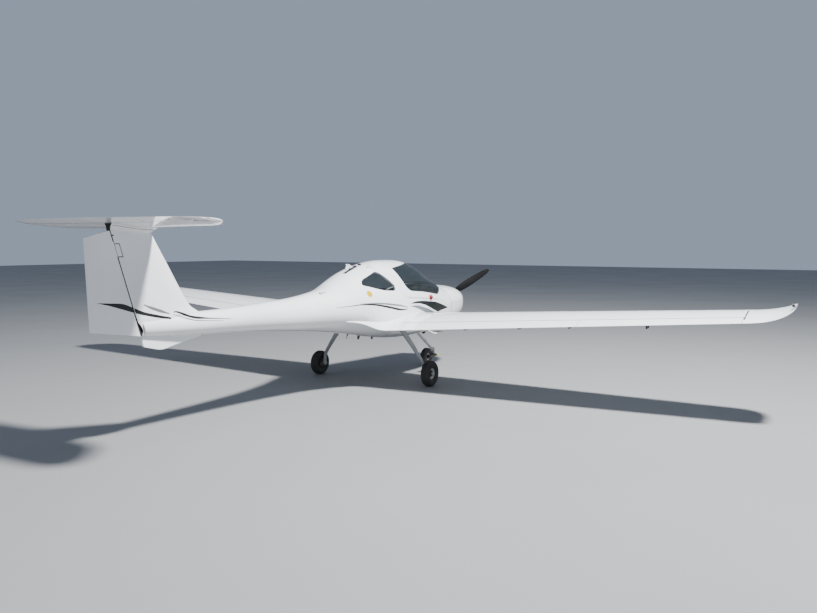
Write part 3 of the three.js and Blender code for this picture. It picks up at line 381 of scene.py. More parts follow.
class Piece:
    """Surfaces gathered for one named piece; each point may have its own smooth normal"""

    def __init__(self):
        self.points = []
        self.normals = []
        self.faces = []
        self.count = 0

    def add(self, points, faces, normals=None):
        points = np.asarray(points, float).reshape(-1, 3)
        if normals is None:
            normals = np.zeros_like(points)
        else:
            normals = np.asarray(normals, float).reshape(-1, 3)
            faces = facing(points, faces, normals)
        self.points.append(points)
        self.normals.append(normals)
        self.faces.extend([[i + self.count for i in face] for face in faces])
        self.count += len(points)

    def grid(self, rows, around=False, out=None):
        """A smooth sheet through rows of points; it faces out, or else away from its middle"""
        rows = np.asarray(rows, float)
        normals = unit(np.cross(tangents(rows, 0, False), tangents(rows, 1, around)))
        hint = rows - rows.mean(axis=1, keepdims=True) if out is None else np.asarray(out, float)
        if np.sum(normals * hint) < 0:
            normals = -normals
        self.add(rows, grid_faces(*rows.shape[:2], around), normals)

    def fill(self, loop, toward):
        """A flat face inside a loop"""
        loop = np.asarray(loop, float)
        faces = tessellate_polygon([[Vector(p) for p in loop]])
        normals = np.tile(unit(np.asarray(toward, float)), (len(loop), 1))
        self.add(loop, faces, normals)

    def solid(self, points, faces):
        """A closed form whose smoothness comes from its angles"""
        points = np.asarray(points, float)
        fans = [(face[0], face[i], face[i + 1]) for face in faces for i in range(1, len(face) - 1)]
        corners = points[np.array(fans)]
        volume = np.sum(corners[:, 0] * np.cross(corners[:, 1], corners[:, 2]))
        if volume < 0:
            faces = [list(face)[::-1] for face in faces]
        self.add(points, faces)

    def join(self, other):
        self.points.extend(other.points)
        self.normals.extend(other.normals)
        self.faces.extend([[i + self.count for i in face] for face in other.faces])
        self.count += other.count

    def mirrored(self):
        """The same piece on the other side of the aircraft"""
        twin = self.moved(np.diag([-1.0, 1.0, 1.0]), (0, 0, 0))
        twin.faces = [face[::-1] for face in twin.faces]
        return twin

    def moved(self, turn, at):
        """The same piece turned by a 3x3 matrix and then moved"""
        twin = Piece()
        twin.points = [p @ turn.T + np.asarray(at, float) for p in self.points]
        twin.normals = [n @ turn.T for n in self.normals]
        twin.faces = [list(face) for face in self.faces]
        twin.count = self.count
        return twin

    def place(self, name, slot, material, replaced=(), body="airframe"):
        """Makes the Blender object, rides it on its body and hides the parts that it replaces"""
        points = np.vstack(self.points) * 0.001
        normals = np.vstack(self.normals)
        mesh = bpy.data.meshes.new(name)
        mesh.from_pydata(points.tolist(), [], self.faces)
        mesh.polygons.foreach_set("use_smooth", np.ones(len(self.faces), bool))
        mesh.set_sharp_from_angle(angle=math.radians(SHARP_ANGLE))
        corner = np.empty(len(mesh.loops), np.int32)
        mesh.loops.foreach_get("vertex_index", corner)
        mesh.normals_split_custom_set(normals[corner].tolist())
        mesh.materials.append(material)
        piece = bpy.data.objects.new(name, mesh)
        bpy.context.scene.collection.objects.link(piece)
        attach(piece, body)
        if replaced:
            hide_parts(*replaced)
        return piece


def grid_faces(high, wide, around):
    columns = wide if around else wide - 1
    return [
        (i * wide + j, i * wide + (j + 1) % wide, (i + 1) * wide + (j + 1) % wide, (i + 1) * wide + j)
        for i in range(high - 1) for j in range(columns)
    ]


def facing(points, faces, normals):
    """The faces wound so that they agree with the normals of their points"""
    made = []
    for face in faces:
        face = list(face)
        corners = points[face]
        normal = np.cross(corners[1] - corners[0], corners[2] - corners[0])
        if len(face) == 4:
            normal = np.cross(corners[2] - corners[0], corners[3] - corners[1])
        if np.dot(normal, normals[face].sum(axis=0)) < 0:
            face.reverse()
        made.append(face)
    return made


def frame_along(direction):
    """A turn that takes +Z to a direction"""
    return np.array(Vector(direction).to_track_quat("Z", "Y").to_matrix())


def lathe(profile, start=(0, 0, 0), direction=UP, sides=32, crease=28):
    """A turned form; profile rows are radius, height, and closed with the axis or on itself"""
    made = Piece()
    rows = np.array(profile, float)
    ends = np.vstack([rows, rows[:1]])
    area = np.sum(ends[:-1, 0] * ends[1:, 1] - ends[1:, 0] * ends[:-1, 1])
    sign = 1 if area > 0 else -1
    step = unit(np.diff(rows, axis=0))
    bends = [
        i for i in range(1, len(rows) - 1)
        if np.dot(step[i - 1], step[i]) < math.cos(math.radians(crease))
    ]
    breaks = [0, *bends, len(rows) - 1]
    turn = full_turn(sides)
    for first, last in zip(breaks[:-1], breaks[1:]):
        radius, height = rows[first:last + 1].T[:, :, None]
        along = tangents(rows[first:last + 1], 0, False)
        across, up = along[:, 1:] * sign, -along[:, :1] * sign
        points = spots(radius * np.cos(turn), radius * np.sin(turn), height)
        normals = spots(across * np.cos(turn), across * np.sin(turn), up)
        made.add(points, grid_faces(len(radius), sides, True), unit(normals))
    return made.moved(frame_along(direction), start)


def bar(start, end, radius, sides=20, bevel=1.0):
    """A round bar between two points with its edges broken"""
    start, end = np.array(start, float), np.array(end, float)
    long = np.linalg.norm(end - start)
    profile = [
        (0, 0), (radius - bevel, 0), (radius, bevel),
        (radius, long - bevel), (radius - bevel, long), (0, long),
    ]
    return lathe(profile, start, end - start, sides)


def pipe(path, radius, sides=12, closed=False):
    """A round tube along a path of points"""
    made = Piece()
    path = np.asarray(path, float)
    along = unit(tangents(path, 0, closed))
    side = unit(np.cross(along[0], (0.31, 0.17, 0.93)))
    rows = []
    turn = full_turn(sides)[:, None]
    for point, direction in zip(path, along):
        side = unit(side - direction * np.dot(side, direction))
        other = np.cross(direction, side)
        rows.append(point + radius * (np.cos(turn) * side + np.sin(turn) * other))
    if closed:
        rows.append(rows[0])
    made.grid(rows, around=True)
    if not closed:
        made.fill(rows[0], -along[0])
        made.fill(rows[-1], along[-1])
    return made


def ribbon(path, across, thick=1.6):
    """A flat strap along a path; across holds the half width vector at each point"""
    made = Piece()
    path, across = np.asarray(path, float), np.asarray(across, float)
    lift = unit(np.cross(tangents(path, 0, False), across)) * thick / 2
    top = np.stack([path - across + lift, path + across + lift], axis=1)
    under = np.stack([path + across - lift, path - across - lift], axis=1)
    rows = np.concatenate([top, under], axis=1)
    faces = grid_faces(len(path), 4, True)
    faces += [(0, 1, 2, 3), tuple(len(path) * 4 - 4 + i for i in (3, 2, 1, 0))]
    made.solid(rows.reshape(-1, 3), faces)
    return made


def block(size, at=(0, 0, 0), turn=UPRIGHT, bevel=3.0):
    """A block with its edges broken; each of its corners becomes three points, one in each plane"""
    made = Piece()
    half = np.array(size, float) / 2
    bevel = min(bevel, 0.45 * 2 * half.min())
    corners = list(itertools.product((-1, 1), repeat=3))
    points = []
    index = {}
    for corner in corners:
        for flat in range(3):
            drawn = np.array(corner) * bevel
            drawn[flat] = 0
            index[(*corner, flat)] = len(points)
            points.append(corner * half - drawn)
    faces = []
    signs = [(-1, -1), (-1, 1), (1, 1), (1, -1)]
    for flat in range(3):
        for side in (-1, 1):
            faces.append([index[(*np.insert(pair, flat, side), flat)] for pair in signs])
    for along in range(3):
        first, second = [a for a in range(3) if a != along]
        for pair in signs:
            low, high = np.insert(pair, along, -1), np.insert(pair, along, 1)
            ends = ((low, first), (high, first), (high, second), (low, second))
            faces.append([index[(*corner, flat)] for corner, flat in ends])
    faces += [[index[(*corner, flat)] for flat in range(3)] for corner in corners]
    points = np.array(points)
    made.add(points, facing(points, faces, points))
    return made.moved(turn, at)


def plate(outline, thick, x=0.0, bevel=1.0):
    """A flat plate that stands along the aircraft at x; outline rows are y, z"""
    made = Piece()
    outline = np.asarray(outline, float)
    reach = outline.mean(axis=0) - outline
    shrink = outline + reach * np.minimum(1, bevel / np.linalg.norm(reach, axis=1))[:, None]
    half = thick / 2
    rows = [(shrink, -half), (outline, -half + bevel), (outline, half - bevel), (shrink, half)]
    points = np.array([spots(x + across, *loop.T) for loop, across in rows])
    count = len(outline)
    first = [tuple(face) for face in tessellate_polygon([[Vector((a, b, 0)) for a, b in outline]])]
    last = [tuple(i + 3 * count for i in face) for face in first]
    after = np.roll(outline, -1, axis=0)
    sense = np.sum(outline[:, 0] * after[:, 1] - after[:, 0] * outline[:, 1])
    corners = outline[list(first[0])]
    if sense * np.cross(corners[1] - corners[0], corners[2] - corners[0]) > 0:
        first = [face[::-1] for face in first]
    else:
        last = [face[::-1] for face in last]
    made.solid(points.reshape(-1, 3), grid_faces(4, count, True) + first + last)
    return made


# Fuselage surface

def station(y):
    return smooth(STATIONS, np.ravel(y)).T


def hull(y, angle, inset=0.0, lift=None):
    """Points of the fuselage, drawn in by inset and raised at the bottom by lift"""
    y, angle = np.broadcast_arrays(np.asarray(y, float), np.asarray(angle, float))
    shape = y.shape
    y, angle = y.ravel(), angle.ravel()
    _, bottom, waist, top, half, above, below = station(y)
    near = np.clip(NOSE_ROUND - (y - NOSE_FACE_Y), 0, NOSE_ROUND)
    drawn = NOSE_ROUND - np.sqrt(NOSE_ROUND**2 - near**2) + inset
    lift = drawn if lift is None else lift
    upper = np.sin(angle) > 0
    power = 2 / np.where(upper, above, below)
    height = np.where(upper, top - drawn - waist, waist - bottom - lift)
    across, rise = (np.sign(way) * np.abs(way) ** power for way in (np.cos(angle), np.sin(angle)))
    return spots(across * (half - drawn), y, waist + rise * height).reshape(*shape, 3)


def hull_normals(y, angle, inset=0.0, lift=None):
    ahead = hull(y + 2, angle, inset, lift) - hull(y - 2, angle, inset, lift)
    around = hull(y, angle + 0.003, inset, lift) - hull(y, angle - 0.003, inset, lift)
    return unit(np.cross(ahead, around))


def side_angle(y, z):
    """The angle round the fuselage of a side-view point, on the left side"""
    _, bottom, waist, top, _, above, below = station(y)
    z = np.ravel(z)
    rise = np.clip((z - waist) / (top - waist), 0, 1)
    drop = np.clip((waist - z) / (waist - bottom), 0, 1)
    return np.where(z > waist, np.arcsin(rise ** (above / 2)), -np.arcsin(drop ** (below / 2)))


def unrolled(path, side=1):
    """A side-view path on the unrolled skin: y, and the way round from the top"""
    angle = side_angle(path[:, 0], path[:, 1])
    return np.stack([path[:, 0], side * (angle - TOP_ANGLE) * GIRTH], axis=1)


def over_top(corners, grow=0.0, step=12.0):
    """A loop on the unrolled skin from a side-view line that starts and ends above the top"""
    path = resampled(offset_path(resampled(rounded(corners, False), 3, False), grow), 1.5, False)
    below = path[:, 1] < station(path[:, 0])[3]
    first, last = np.argmax(below), len(below) - np.argmax(below[::-1])
    left = unrolled(path[first:last])
    left[[0, -1], 1] = 0
    left = resampled(left, step, False)
    return np.vstack([left, left[1:-1][::-1] * [1, -1]])


def on_side(corners, side, grow=0.0, step=12.0):
    """A closed loop on the unrolled skin, on one side of the fuselage"""
    path = resampled(rounded(corners, True), 3, True)
    if grow:
        middle = path.mean(axis=0)
        path = path + unit(path - middle) * grow
    return resampled(unrolled(path, side), step, True)


def on_hull(flat, inset=0.0, lift=None):
    """Points of the fuselage at places on its unrolled skin"""
    return hull(flat[:, 0], TOP_ANGLE + flat[:, 1] / GIRTH, inset, lift)


def off_hull(flat, inset=0.0, lift=None):
    """The way that the fuselage faces at places on its unrolled skin"""
    return hull_normals(flat[:, 0], TOP_ANGLE + flat[:, 1] / GIRTH, inset, lift)


def skin_patch(piece, flat, triangles, inset=0.0, lift=None, inward=False):
    """A meshed part of the skin, laid on the fuselage at some depth"""
    sign = -1 if inward else 1
    piece.add(on_hull(flat, inset, lift), triangles, sign * off_hull(flat, inset, lift))


def edge_strip(piece, loop, near, far, hole, closed=True):
    """The cut edge of the skin along a loop, from one depth to another"""
    rows = np.array([on_hull(loop, near), on_hull(loop, far)])
    middle = rows.mean(axis=(0, 1))
    piece.grid(rows, around=closed, out=(middle - rows) if hole else (rows - middle))


# Finishes

def node_group(name, inputs, outputs):
    """An empty shader node group with named sockets"""
    group = bpy.data.node_groups.new(name, "ShaderNodeTree")
    for label, kind, value in inputs:
        socket = group.interface.new_socket(label, in_out="INPUT", socket_type=kind)
        socket.default_value = value
    for label, kind in outputs:
        group.interface.new_socket(label, in_out="OUTPUT", socket_type=kind)
    return group, group.nodes.new("NodeGroupInput"), group.nodes.new("NodeGroupOutput")


def linked(tree, kind, links=(), **values):
    """A node with its values set and its inputs linked"""
    node = tree.nodes.new(kind)
    for label, value in values.items():
        if hasattr(node, label):
            setattr(node, label, value)
        else:
            node.inputs[label.replace("_", " ")].default_value = value
    for socket, source in links:
        tree.links.new(source, node.inputs[socket])
    return node


def surface_wear_group():
    """Broad patches, fine grain and long streaks, all from 0 to 1"""
    group, given, made = node_group(
        "surface_wear",
        [("Vector", "NodeSocketVector", (0, 0, 0)), ("Patch Scale", "NodeSocketFloat", 2.0),
         ("Grain Scale", "NodeSocketFloat", 200.0)],
        [("Patches", "NodeSocketFloat"), ("Grain", "NodeSocketFloat"), ("Streaks", "NodeSocketFloat")],
    )
    vector, patch, grain = (given.outputs[label] for label in ("Vector", "Patch Scale", "Grain Scale"))
    stretch = linked(group, "ShaderNodeMapping", [(0, vector)], Scale=(9.0, 0.8, 9.0)).outputs[0]
    for label, place, scale, detail, low, high in (
            ("Patches", vector, patch, 5.0, 0.35, 0.68), ("Grain", vector, grain, 3.0, 0.3, 0.7),
            ("Streaks", stretch, patch, 6.0, 0.45, 0.72)):
        noise = linked(group, "ShaderNodeTexNoise", [(0, place), ("Scale", scale)], Detail=detail)
        spread = linked(group, "ShaderNodeMapRange", [(0, noise.outputs[0])], From_Min=low, From_Max=high)
        group.links.new(spread.outputs[0], made.inputs[label])
    return group


def weave_group():
    """Crossed threads: height and a mask of the gaps between them"""
    group, given, made = node_group(
        "cloth_weave",
        [("Vector", "NodeSocketVector", (0, 0, 0)), ("Threads", "NodeSocketFloat", 400.0)],
        [("Height", "NodeSocketFloat"), ("Gaps", "NodeSocketFloat")],
    )
    waves = [
        linked(
            group, "ShaderNodeTexWave", [(0, given.outputs["Vector"]), ("Scale", given.outputs["Threads"])],
            bands_direction=axis, Distortion=0.6, Detail=1.0,
        ).outputs[1]
        for axis in ("X", "Z")
    ]
    height = linked(group, "ShaderNodeMath", enumerate(waves), operation="MULTIPLY").outputs[0]
    gaps = linked(
        group, "ShaderNodeMapRange", [(0, height)], From_Min=0.0, From_Max=0.35, To_Min=1.0, To_Max=0.0)
    group.links.new(height, made.inputs["Height"])
    group.links.new(gaps.outputs[0], made.inputs["Gaps"])
    return group


def low_dirt_group():
    """Dust that gathers towards the ground, as a mask from 0 to 1"""
    group, given, made = node_group(
        "low_dirt",
        [("Vector", "NodeSocketVector", (0, 0, 0)), ("Noise", "NodeSocketFloat", 0.5),
         ("Top", "NodeSocketFloat", 1.0), ("Strength", "NodeSocketFloat", 0.5)],
        [("Mask", "NodeSocketFloat")],
    )
    parts = linked(group, "ShaderNodeSeparateXYZ", [(0, given.outputs["Vector"])])
    level = linked(group, "ShaderNodeMapRange", [(0, parts.outputs["Z"]), (1, given.outputs["Top"])],
                   From_Max=0.0, To_Min=0.0, To_Max=1.0)
    mask = level.outputs[0]
    for share in ("Noise", "Strength"):
        scaled = linked(group, "ShaderNodeMath", [(0, mask), (1, given.outputs[share])], operation="MULTIPLY")
        mask = scaled.outputs[0]
    group.links.new(mask, made.inputs["Mask"])
    return group


WEAR = surface_wear_group()
WEAVE = weave_group()
LOW_DIRT = low_dirt_group()
WEAVE_GAP_SHADE = 0.45


def finish(name, colour, second, rough, bump=0.05, patch=2.0, grain=220.0, dirt=None, dirt_top=1.0,
           dirt_strength=0.4, streaks=False, metallic=0.0, coat=0.0, weave=None, depth=0.0004, specular=0.5,
           sheen=0.0):
    """A material: two colours by patches, dirt towards the ground, roughness range and grain or weave"""
    material = bpy.data.materials.new(name)
    material.use_nodes = True
    tree = material.node_tree
    shader = tree.nodes["Principled BSDF"]
    shader.inputs["Metallic"].default_value = metallic
    shader.inputs["Coat Weight"].default_value = coat
    shader.inputs["Coat Roughness"].default_value = 0.05
    shader.inputs["Specular IOR Level"].default_value = specular
    shader.inputs["Sheen Weight"].default_value = sheen
    place = linked(tree, "ShaderNodeTexCoord").outputs["Object"]

    def blend(mask, first, second_colour):
        node = linked(tree, "ShaderNodeMix", [(0, mask)], data_type="RGBA")
        if isinstance(first, bpy.types.NodeSocket):
            tree.links.new(first, node.inputs[6])
        else:
            node.inputs[6].default_value = (*first, 1)
        node.inputs[7].default_value = (*second_colour, 1)
        return node.outputs[2]

    wear = linked(tree, "ShaderNodeGroup", node_tree=WEAR, Patch_Scale=patch, Grain_Scale=grain)
    tree.links.new(place, wear.inputs["Vector"])
    tone = blend(wear.outputs["Patches"], colour, second)
    if dirt is not None:
        low = linked(tree, "ShaderNodeGroup", node_tree=LOW_DIRT, Top=dirt_top, Strength=dirt_strength)
        tree.links.new(place, low.inputs["Vector"])
        tree.links.new(wear.outputs["Streaks" if streaks else "Grain"], low.inputs["Noise"])
        tone = blend(low.outputs["Mask"], tone, dirt)
    height = wear.outputs["Grain"]
    if weave:
        cloth = linked(tree, "ShaderNodeGroup", node_tree=WEAVE, Threads=weave)
        tree.links.new(place, cloth.inputs["Vector"])
        tone = blend(cloth.outputs["Gaps"], tone, [WEAVE_GAP_SHADE * c for c in colour])
        height = cloth.outputs["Height"]
    tree.links.new(tone, shader.inputs["Base Color"])
    spread = linked(tree, "ShaderNodeMapRange", [(0, wear.outputs["Streaks" if streaks else "Patches"])],
                    To_Min=rough[0], To_Max=rough[1])
    tree.links.new(spread.outputs[0], shader.inputs["Roughness"])
    relief = linked(tree, "ShaderNodeBump", [("Height", height)], Strength=bump, Distance=depth)
    tree.links.new(relief.outputs[0], shader.inputs["Normal"])
    return material


def tinted_glass(name, colour, alpha):
    """A tinted pane: dark film with a clear gloss and faint smears"""
    material = finish(name, colour, [0.8 * c for c in colour], (0.02, 0.07), bump=0.01, patch=3.0, grain=40.0,
                      specular=0.6)
    tree = material.node_tree
    wear = next(n for n in tree.nodes if n.type == "GROUP")
    streaks = wear.outputs["Streaks"]
    veil = linked(tree, "ShaderNodeMapRange", [(0, streaks)], To_Min=alpha, To_Max=alpha + 0.05)
    tree.links.new(veil.outputs[0], tree.nodes["Principled BSDF"].inputs["Alpha"])
    return material


GELCOAT = finish(
    "white_gelcoat", (0.86, 0.87, 0.88), (0.80, 0.81, 0.825), (0.12, 0.24), bump=0.02, patch=1.1, grain=60.0,
    dirt=(0.42, 0.40, 0.36), dirt_top=0.95, dirt_strength=0.10, streaks=True, coat=0.6)
LINING = finish(
    "cabin_lining", (0.33, 0.335, 0.34), (0.26, 0.265, 0.27), (0.75, 0.9), bump=0.3, patch=6.0, grain=900.0,
    depth=0.0006)
SHADOW = finish("seam_shadow", (0.012, 0.012, 0.013), (0.02, 0.02, 0.02), (0.7, 0.9), bump=0.1)
STRIPE_BLACK = finish(
    "stripe_black", (0.010, 0.012, 0.011), (0.018, 0.020, 0.019), (0.25, 0.4), bump=0.03, specular=0.3)
STRIPE_GREY = finish(
    "stripe_grey", (0.13, 0.146, 0.16), (0.165, 0.18, 0.195), (0.25, 0.4), bump=0.03, specular=0.3)
DOT_YELLOW = finish(
    "dot_yellow", (0.56, 0.36, 0.002), (0.50, 0.32, 0.002), (0.35, 0.5), bump=0.03, specular=0.2)
DOT_RED = finish("dot_red", (0.20, 0.008, 0.012), (0.16, 0.007, 0.010), (0.35, 0.5), bump=0.03, specular=0.3)
GLASS = tinted_glass("smoked_glass", (0.014, 0.024, 0.026), 0.19)
RUBBER = finish(
    "tyre_rubber", (0.018, 0.018, 0.019), (0.034, 0.033, 0.032), (0.72, 0.93), bump=0.35, patch=14.0,
    grain=420.0, dirt=(0.22, 0.20, 0.17), dirt_top=0.36, dirt_strength=0.35, depth=0.0008)
ALLOY = finish(
    "wheel_alloy", (0.80, 0.80, 0.79), (0.66, 0.66, 0.65), (0.35, 0.55), bump=0.12, patch=20.0, grain=500.0,
    dirt=(0.30, 0.27, 0.23), dirt_top=0.3, dirt_strength=0.4, metallic=0.25)
LEG_PAINT = finish(
    "leg_grey_paint", (0.47, 0.49, 0.50), (0.41, 0.43, 0.44), (0.32, 0.5), bump=0.06, patch=9.0,
    dirt=(0.18, 0.16, 0.13), dirt_top=0.6, dirt_strength=0.35)
WEB_GREY = finish(
    "wheel_web_grey", (0.035, 0.034, 0.033), (0.065, 0.06, 0.055), (0.4, 0.65), bump=0.15, patch=18.0,
    dirt=(0.16, 0.13, 0.10), dirt_top=0.36, dirt_strength=0.5, metallic=0.5)
TOW_YELLOW = finish(
    "tow_fitting_yellow", (0.55, 0.60, 0.10), (0.42, 0.46, 0.10), (0.4, 0.6), bump=0.1, patch=20.0)
STEEL = finish(
    "bare_steel", (0.42, 0.42, 0.43), (0.30, 0.29, 0.28), (0.3, 0.55), bump=0.15, patch=30.0, grain=600.0,
    metallic=0.9)
SOOTY = finish(
    "sooty_steel", (0.10, 0.085, 0.075), (0.17, 0.13, 0.10), (0.5, 0.8), bump=0.25, patch=25.0, metallic=0.7)
BLACK_TRIM = finish(
    "black_trim", (0.02, 0.021, 0.022), (0.032, 0.033, 0.034), (0.45, 0.65), bump=0.25, patch=10.0,
    grain=700.0)
BLADE_BLACK = finish(
    "blade_black", (0.009, 0.0095, 0.010), (0.017, 0.017, 0.018), (0.34, 0.5), bump=0.05, patch=7.0,
    specular=0.2)
SEAT_CLOTH = finish(
    "seat_cloth", (0.16, 0.17, 0.19), (0.12, 0.13, 0.145), (0.85, 0.95), bump=0.6, patch=5.0, weave=260.0,
    depth=0.0008, sheen=0.25)
WEBBING = finish(
    "belt_webbing", (0.05, 0.055, 0.075), (0.035, 0.04, 0.05), (0.7, 0.85), bump=0.5, weave=420.0,
    depth=0.0006)
DIAL_WHITE = finish("dial_marks", (0.8, 0.8, 0.78), (0.7, 0.7, 0.68), (0.4, 0.5), bump=0.02)
LAMP_RED, LAMP_CLEAR, LAMP_GREEN = (
    finish(name, colour, second, (0.05, 0.12), bump=0.02, coat=1.0) for name, colour, second in (
        ("lamp_red", (0.55, 0.02, 0.02), (0.45, 0.02, 0.02)),
        ("lamp_clear", (0.62, 0.64, 0.66), (0.55, 0.57, 0.60)),
        ("lamp_green", (0.02, 0.38, 0.12), (0.02, 0.3, 0.1))))


# Fuselage, cowling and cabin shell

CANOPY_LOOP = over_top(CANOPY_LINE)
GLASS_LOOP = over_top(GLASS_LINE)


TAIL_LEAN = 0.304
TAIL_END_FOOT = {"y": 2951, "z": 1040}
# Black patch on the tail's end face, painted shade in the slot: half width, lift off the face
TAIL_SLOT_SHADE = {"half": 40, "lift": 0.7}


def tail_end(angle):
    """Where the fuselage ends ahead of the rudder, which leans back"""
    rise = hull(np.full_like(angle, TAIL_END_Y), angle)[:, 2] - TAIL_END_FOOT["z"]
    return np.minimum(TAIL_END_Y, TAIL_END_FOOT["y"] + TAIL_LEAN * rise)


def body_outline(from_y, to_y, step=40.0):
    """The whole way round the unrolled skin between two stations; to_y may be a function of the angle"""
    half = math.pi * GIRTH
    across = np.linspace(-half, half, 72)
    angle = TOP_ANGLE + across / GIRTH
    rear = to_y(angle) if callable(to_y) else np.full_like(angle, to_y)
    up = np.arange(from_y + step, rear[-1] - step / 2, step)
    sides = np.stack([up, np.full_like(up, half)], axis=1)
    front = np.stack([np.full_like(angle, from_y), across], axis=1)
    return np.vstack([front, sides, np.stack([rear, across], axis=1)[::-1], sides[::-1] * [1, -1]])


def side_windows():
    return [on_side(REAR_WINDOW_LINE, side, grow=1) for side in (1, -1)]


def fuselage_skin():
    made = Piece()
    holes = [CANOPY_LOOP, *side_windows()]
    flat, triangles = region(body_outline(FIREWALL_Y, tail_end), holes, 42)
    skin_patch(made, flat, triangles)
    for hole in holes:
        edge_strip(made, hole, 0, WALL, True)
    made.join(root_fairing())
    made.join(root_fairing().mirrored())
    return made


def tail_end_face():
    """The end of the tail boom, and a black patch on it ahead of the rudder that paints the shade in the slot
    """
    made, slot = Piece(), Piece()
    angle = np.linspace(0, 2 * np.pi, 48, endpoint=False)
    loop = hull(tail_end(angle), angle)
    made.fill(loop, AFT)
    dark = loop + [0, TAIL_SLOT_SHADE["lift"], 0]
    dark[:, 0] = np.clip(dark[:, 0], -TAIL_SLOT_SHADE["half"], TAIL_SLOT_SHADE["half"])
    slot.fill(dark, AFT)
    return made, slot


def wrapped_skin(sections):
    """A wing-like form: the skin round its sections and the strip along its trailing edge"""
    made = Piece()
    sections = np.array(sections)
    made.grid(sections)
    made.grid(sections[:, [0, -1]], out=AFT)
    return made


def cosine_chord(count):
    """Shares of the chord, closer together at both edges"""
    return (1 - np.cos(np.linspace(0, np.pi, count))) / 2


def root_fairing():
    rows = smooth(ROOT_FAIRING, np.linspace(ROOT_FAIRING[0][0], ROOT_FAIRING[-1][0], 26))
    return wrapped_skin([
        airfoil_loop(x, (le_y, le_z), (te_y, te_z), thick, camber, cosine_chord(40))
        for x, le_y, le_z, te_y, te_z, thick, camber in rows
    ])


def thickness_law(c):
    return 5 * (0.2969 * np.sqrt(c) - 0.126 * c - 0.3516 * c**2 + 0.2843 * c**3 - 0.1 * c**4)


def bow_law(c, camber):
    peak = 0.4
    ahead = camber / peak**2 * (2 * peak * c - c**2)
    behind = camber / (1 - peak) ** 2 * (1 - 2 * peak + 2 * peak * c - c**2)
    return np.where(c < peak, ahead, behind)


def airfoil_loop(x, leading, trailing, thick, camber, chord):
    """Upper skin from the trailing edge forward, then the lower skin back"""
    deep, fall = trailing[0] - leading[0], trailing[1] - leading[1]
    c = np.concatenate([chord[::-1], chord[1:]])
    side = np.concatenate([np.ones(len(chord)), -np.ones(len(chord) - 1)])
    bow = bow_law(c, camber) * math.hypot(deep, fall)
    return spots(x, leading[0] + deep * c, leading[1] + fall * c + bow + side * thickness_law(c) * thick)


def cabin_lining():
    made = Piece()
    flat, triangles = region(body_outline(FIREWALL_Y, CABIN_AFT_Y), [CANOPY_LOOP, *side_windows()], 60)
    skin_patch(made, flat, triangles, WALL, FLOOR_LIFT, inward=True)
    angle = np.linspace(0, 2 * np.pi, 64, endpoint=False)
    made.fill(hull(CABIN_AFT_Y, angle, WALL, FLOOR_LIFT), AHEAD)
    return made


def ellipse(x, z, wide, tall, count=40):
    turn = np.linspace(0, 2 * np.pi, count, endpoint=False)
    return np.stack([x + wide * np.cos(turn), z + tall * np.sin(turn)], axis=1)


# Openings in the nose face: x, z, half width, half height
INLETS = [(-172, 1040, 56, 44), (172, 1040, 56, 44), (0, 905, 120, 30)]
SHAFT_HOLE = (0, HUB["z"], 62, 62)
INLET_DEPTH = 46


COWL_GAP = 0.8
# Air outlet in the belly: front y, aft y, half width, rounding
COWL_OUTLET = {"front": -2635, "aft": -2560, "half": 128, "round": 24}
# Distances from the nose face at which its rounded edge is followed
NOSE_ROWS = (0.7, 2, 4, 7, 11, 16, 22)


def cowl_half(upper):
    """One half of the cowling with its share of the nose face"""
    made = Piece()
    along = np.append(np.arange(NOSE_FACE_Y, COWL_AFT_Y, 6.0), COWL_AFT_Y)
    level = COWL_SPLIT_Z + (COWL_GAP if upper else -COWL_GAP)
    split = side_angle(along, np.full_like(along, level)) - TOP_ANGLE
    left = np.stack([along, split * GIRTH], axis=1)
    right = left * [1, -1]
    if not upper:
        left = left + [0, 2 * math.pi * GIRTH]
    start, end = (left, right) if upper else (right, left)
    count = 60
    front = np.linspace(start[0, 1], end[0, 1], count)[1:-1]
    rear = np.linspace(end[-1, 1], start[-1, 1], count)[1:-1]
    outer = np.vstack([
        start[::-1], np.stack([np.full(count - 2, NOSE_FACE_Y), front], axis=1), end,
        np.stack([np.full(count - 2, COWL_AFT_Y), rear], axis=1)])
    holes = []
    if not upper:
        keel = math.pi * GIRTH
        ahead, aft, half, soft = (COWL_OUTLET[k] for k in ("front", "aft", "half", "round"))
        outlet = [(ahead, keel - half), (aft, keel - half), (aft, keel + half), (ahead, keel + half)]
        holes = [resampled(rounded([(*p, soft) for p in outlet], True), 12, True)]
    close = [(NOSE_FACE_Y + row, v) for row in NOSE_ROWS
             for v in np.arange(outer[:, 1].min() + 14, outer[:, 1].max() - 12, 20)]
    flat, triangles = region(outer, holes, 34, extra=close)
    skin_patch(made, flat, triangles)
    skin_patch(made, flat, triangles, COWL_WALL, inward=True)
    for edge in (left, right, outer[-(count - 2):]):
        edge_strip(made, edge, 0, COWL_WALL, False, closed=False)
    for hole in holes:
        edge_strip(made, hole, 0, COWL_WALL, True)
    made.join(nose_face(upper))
    return made


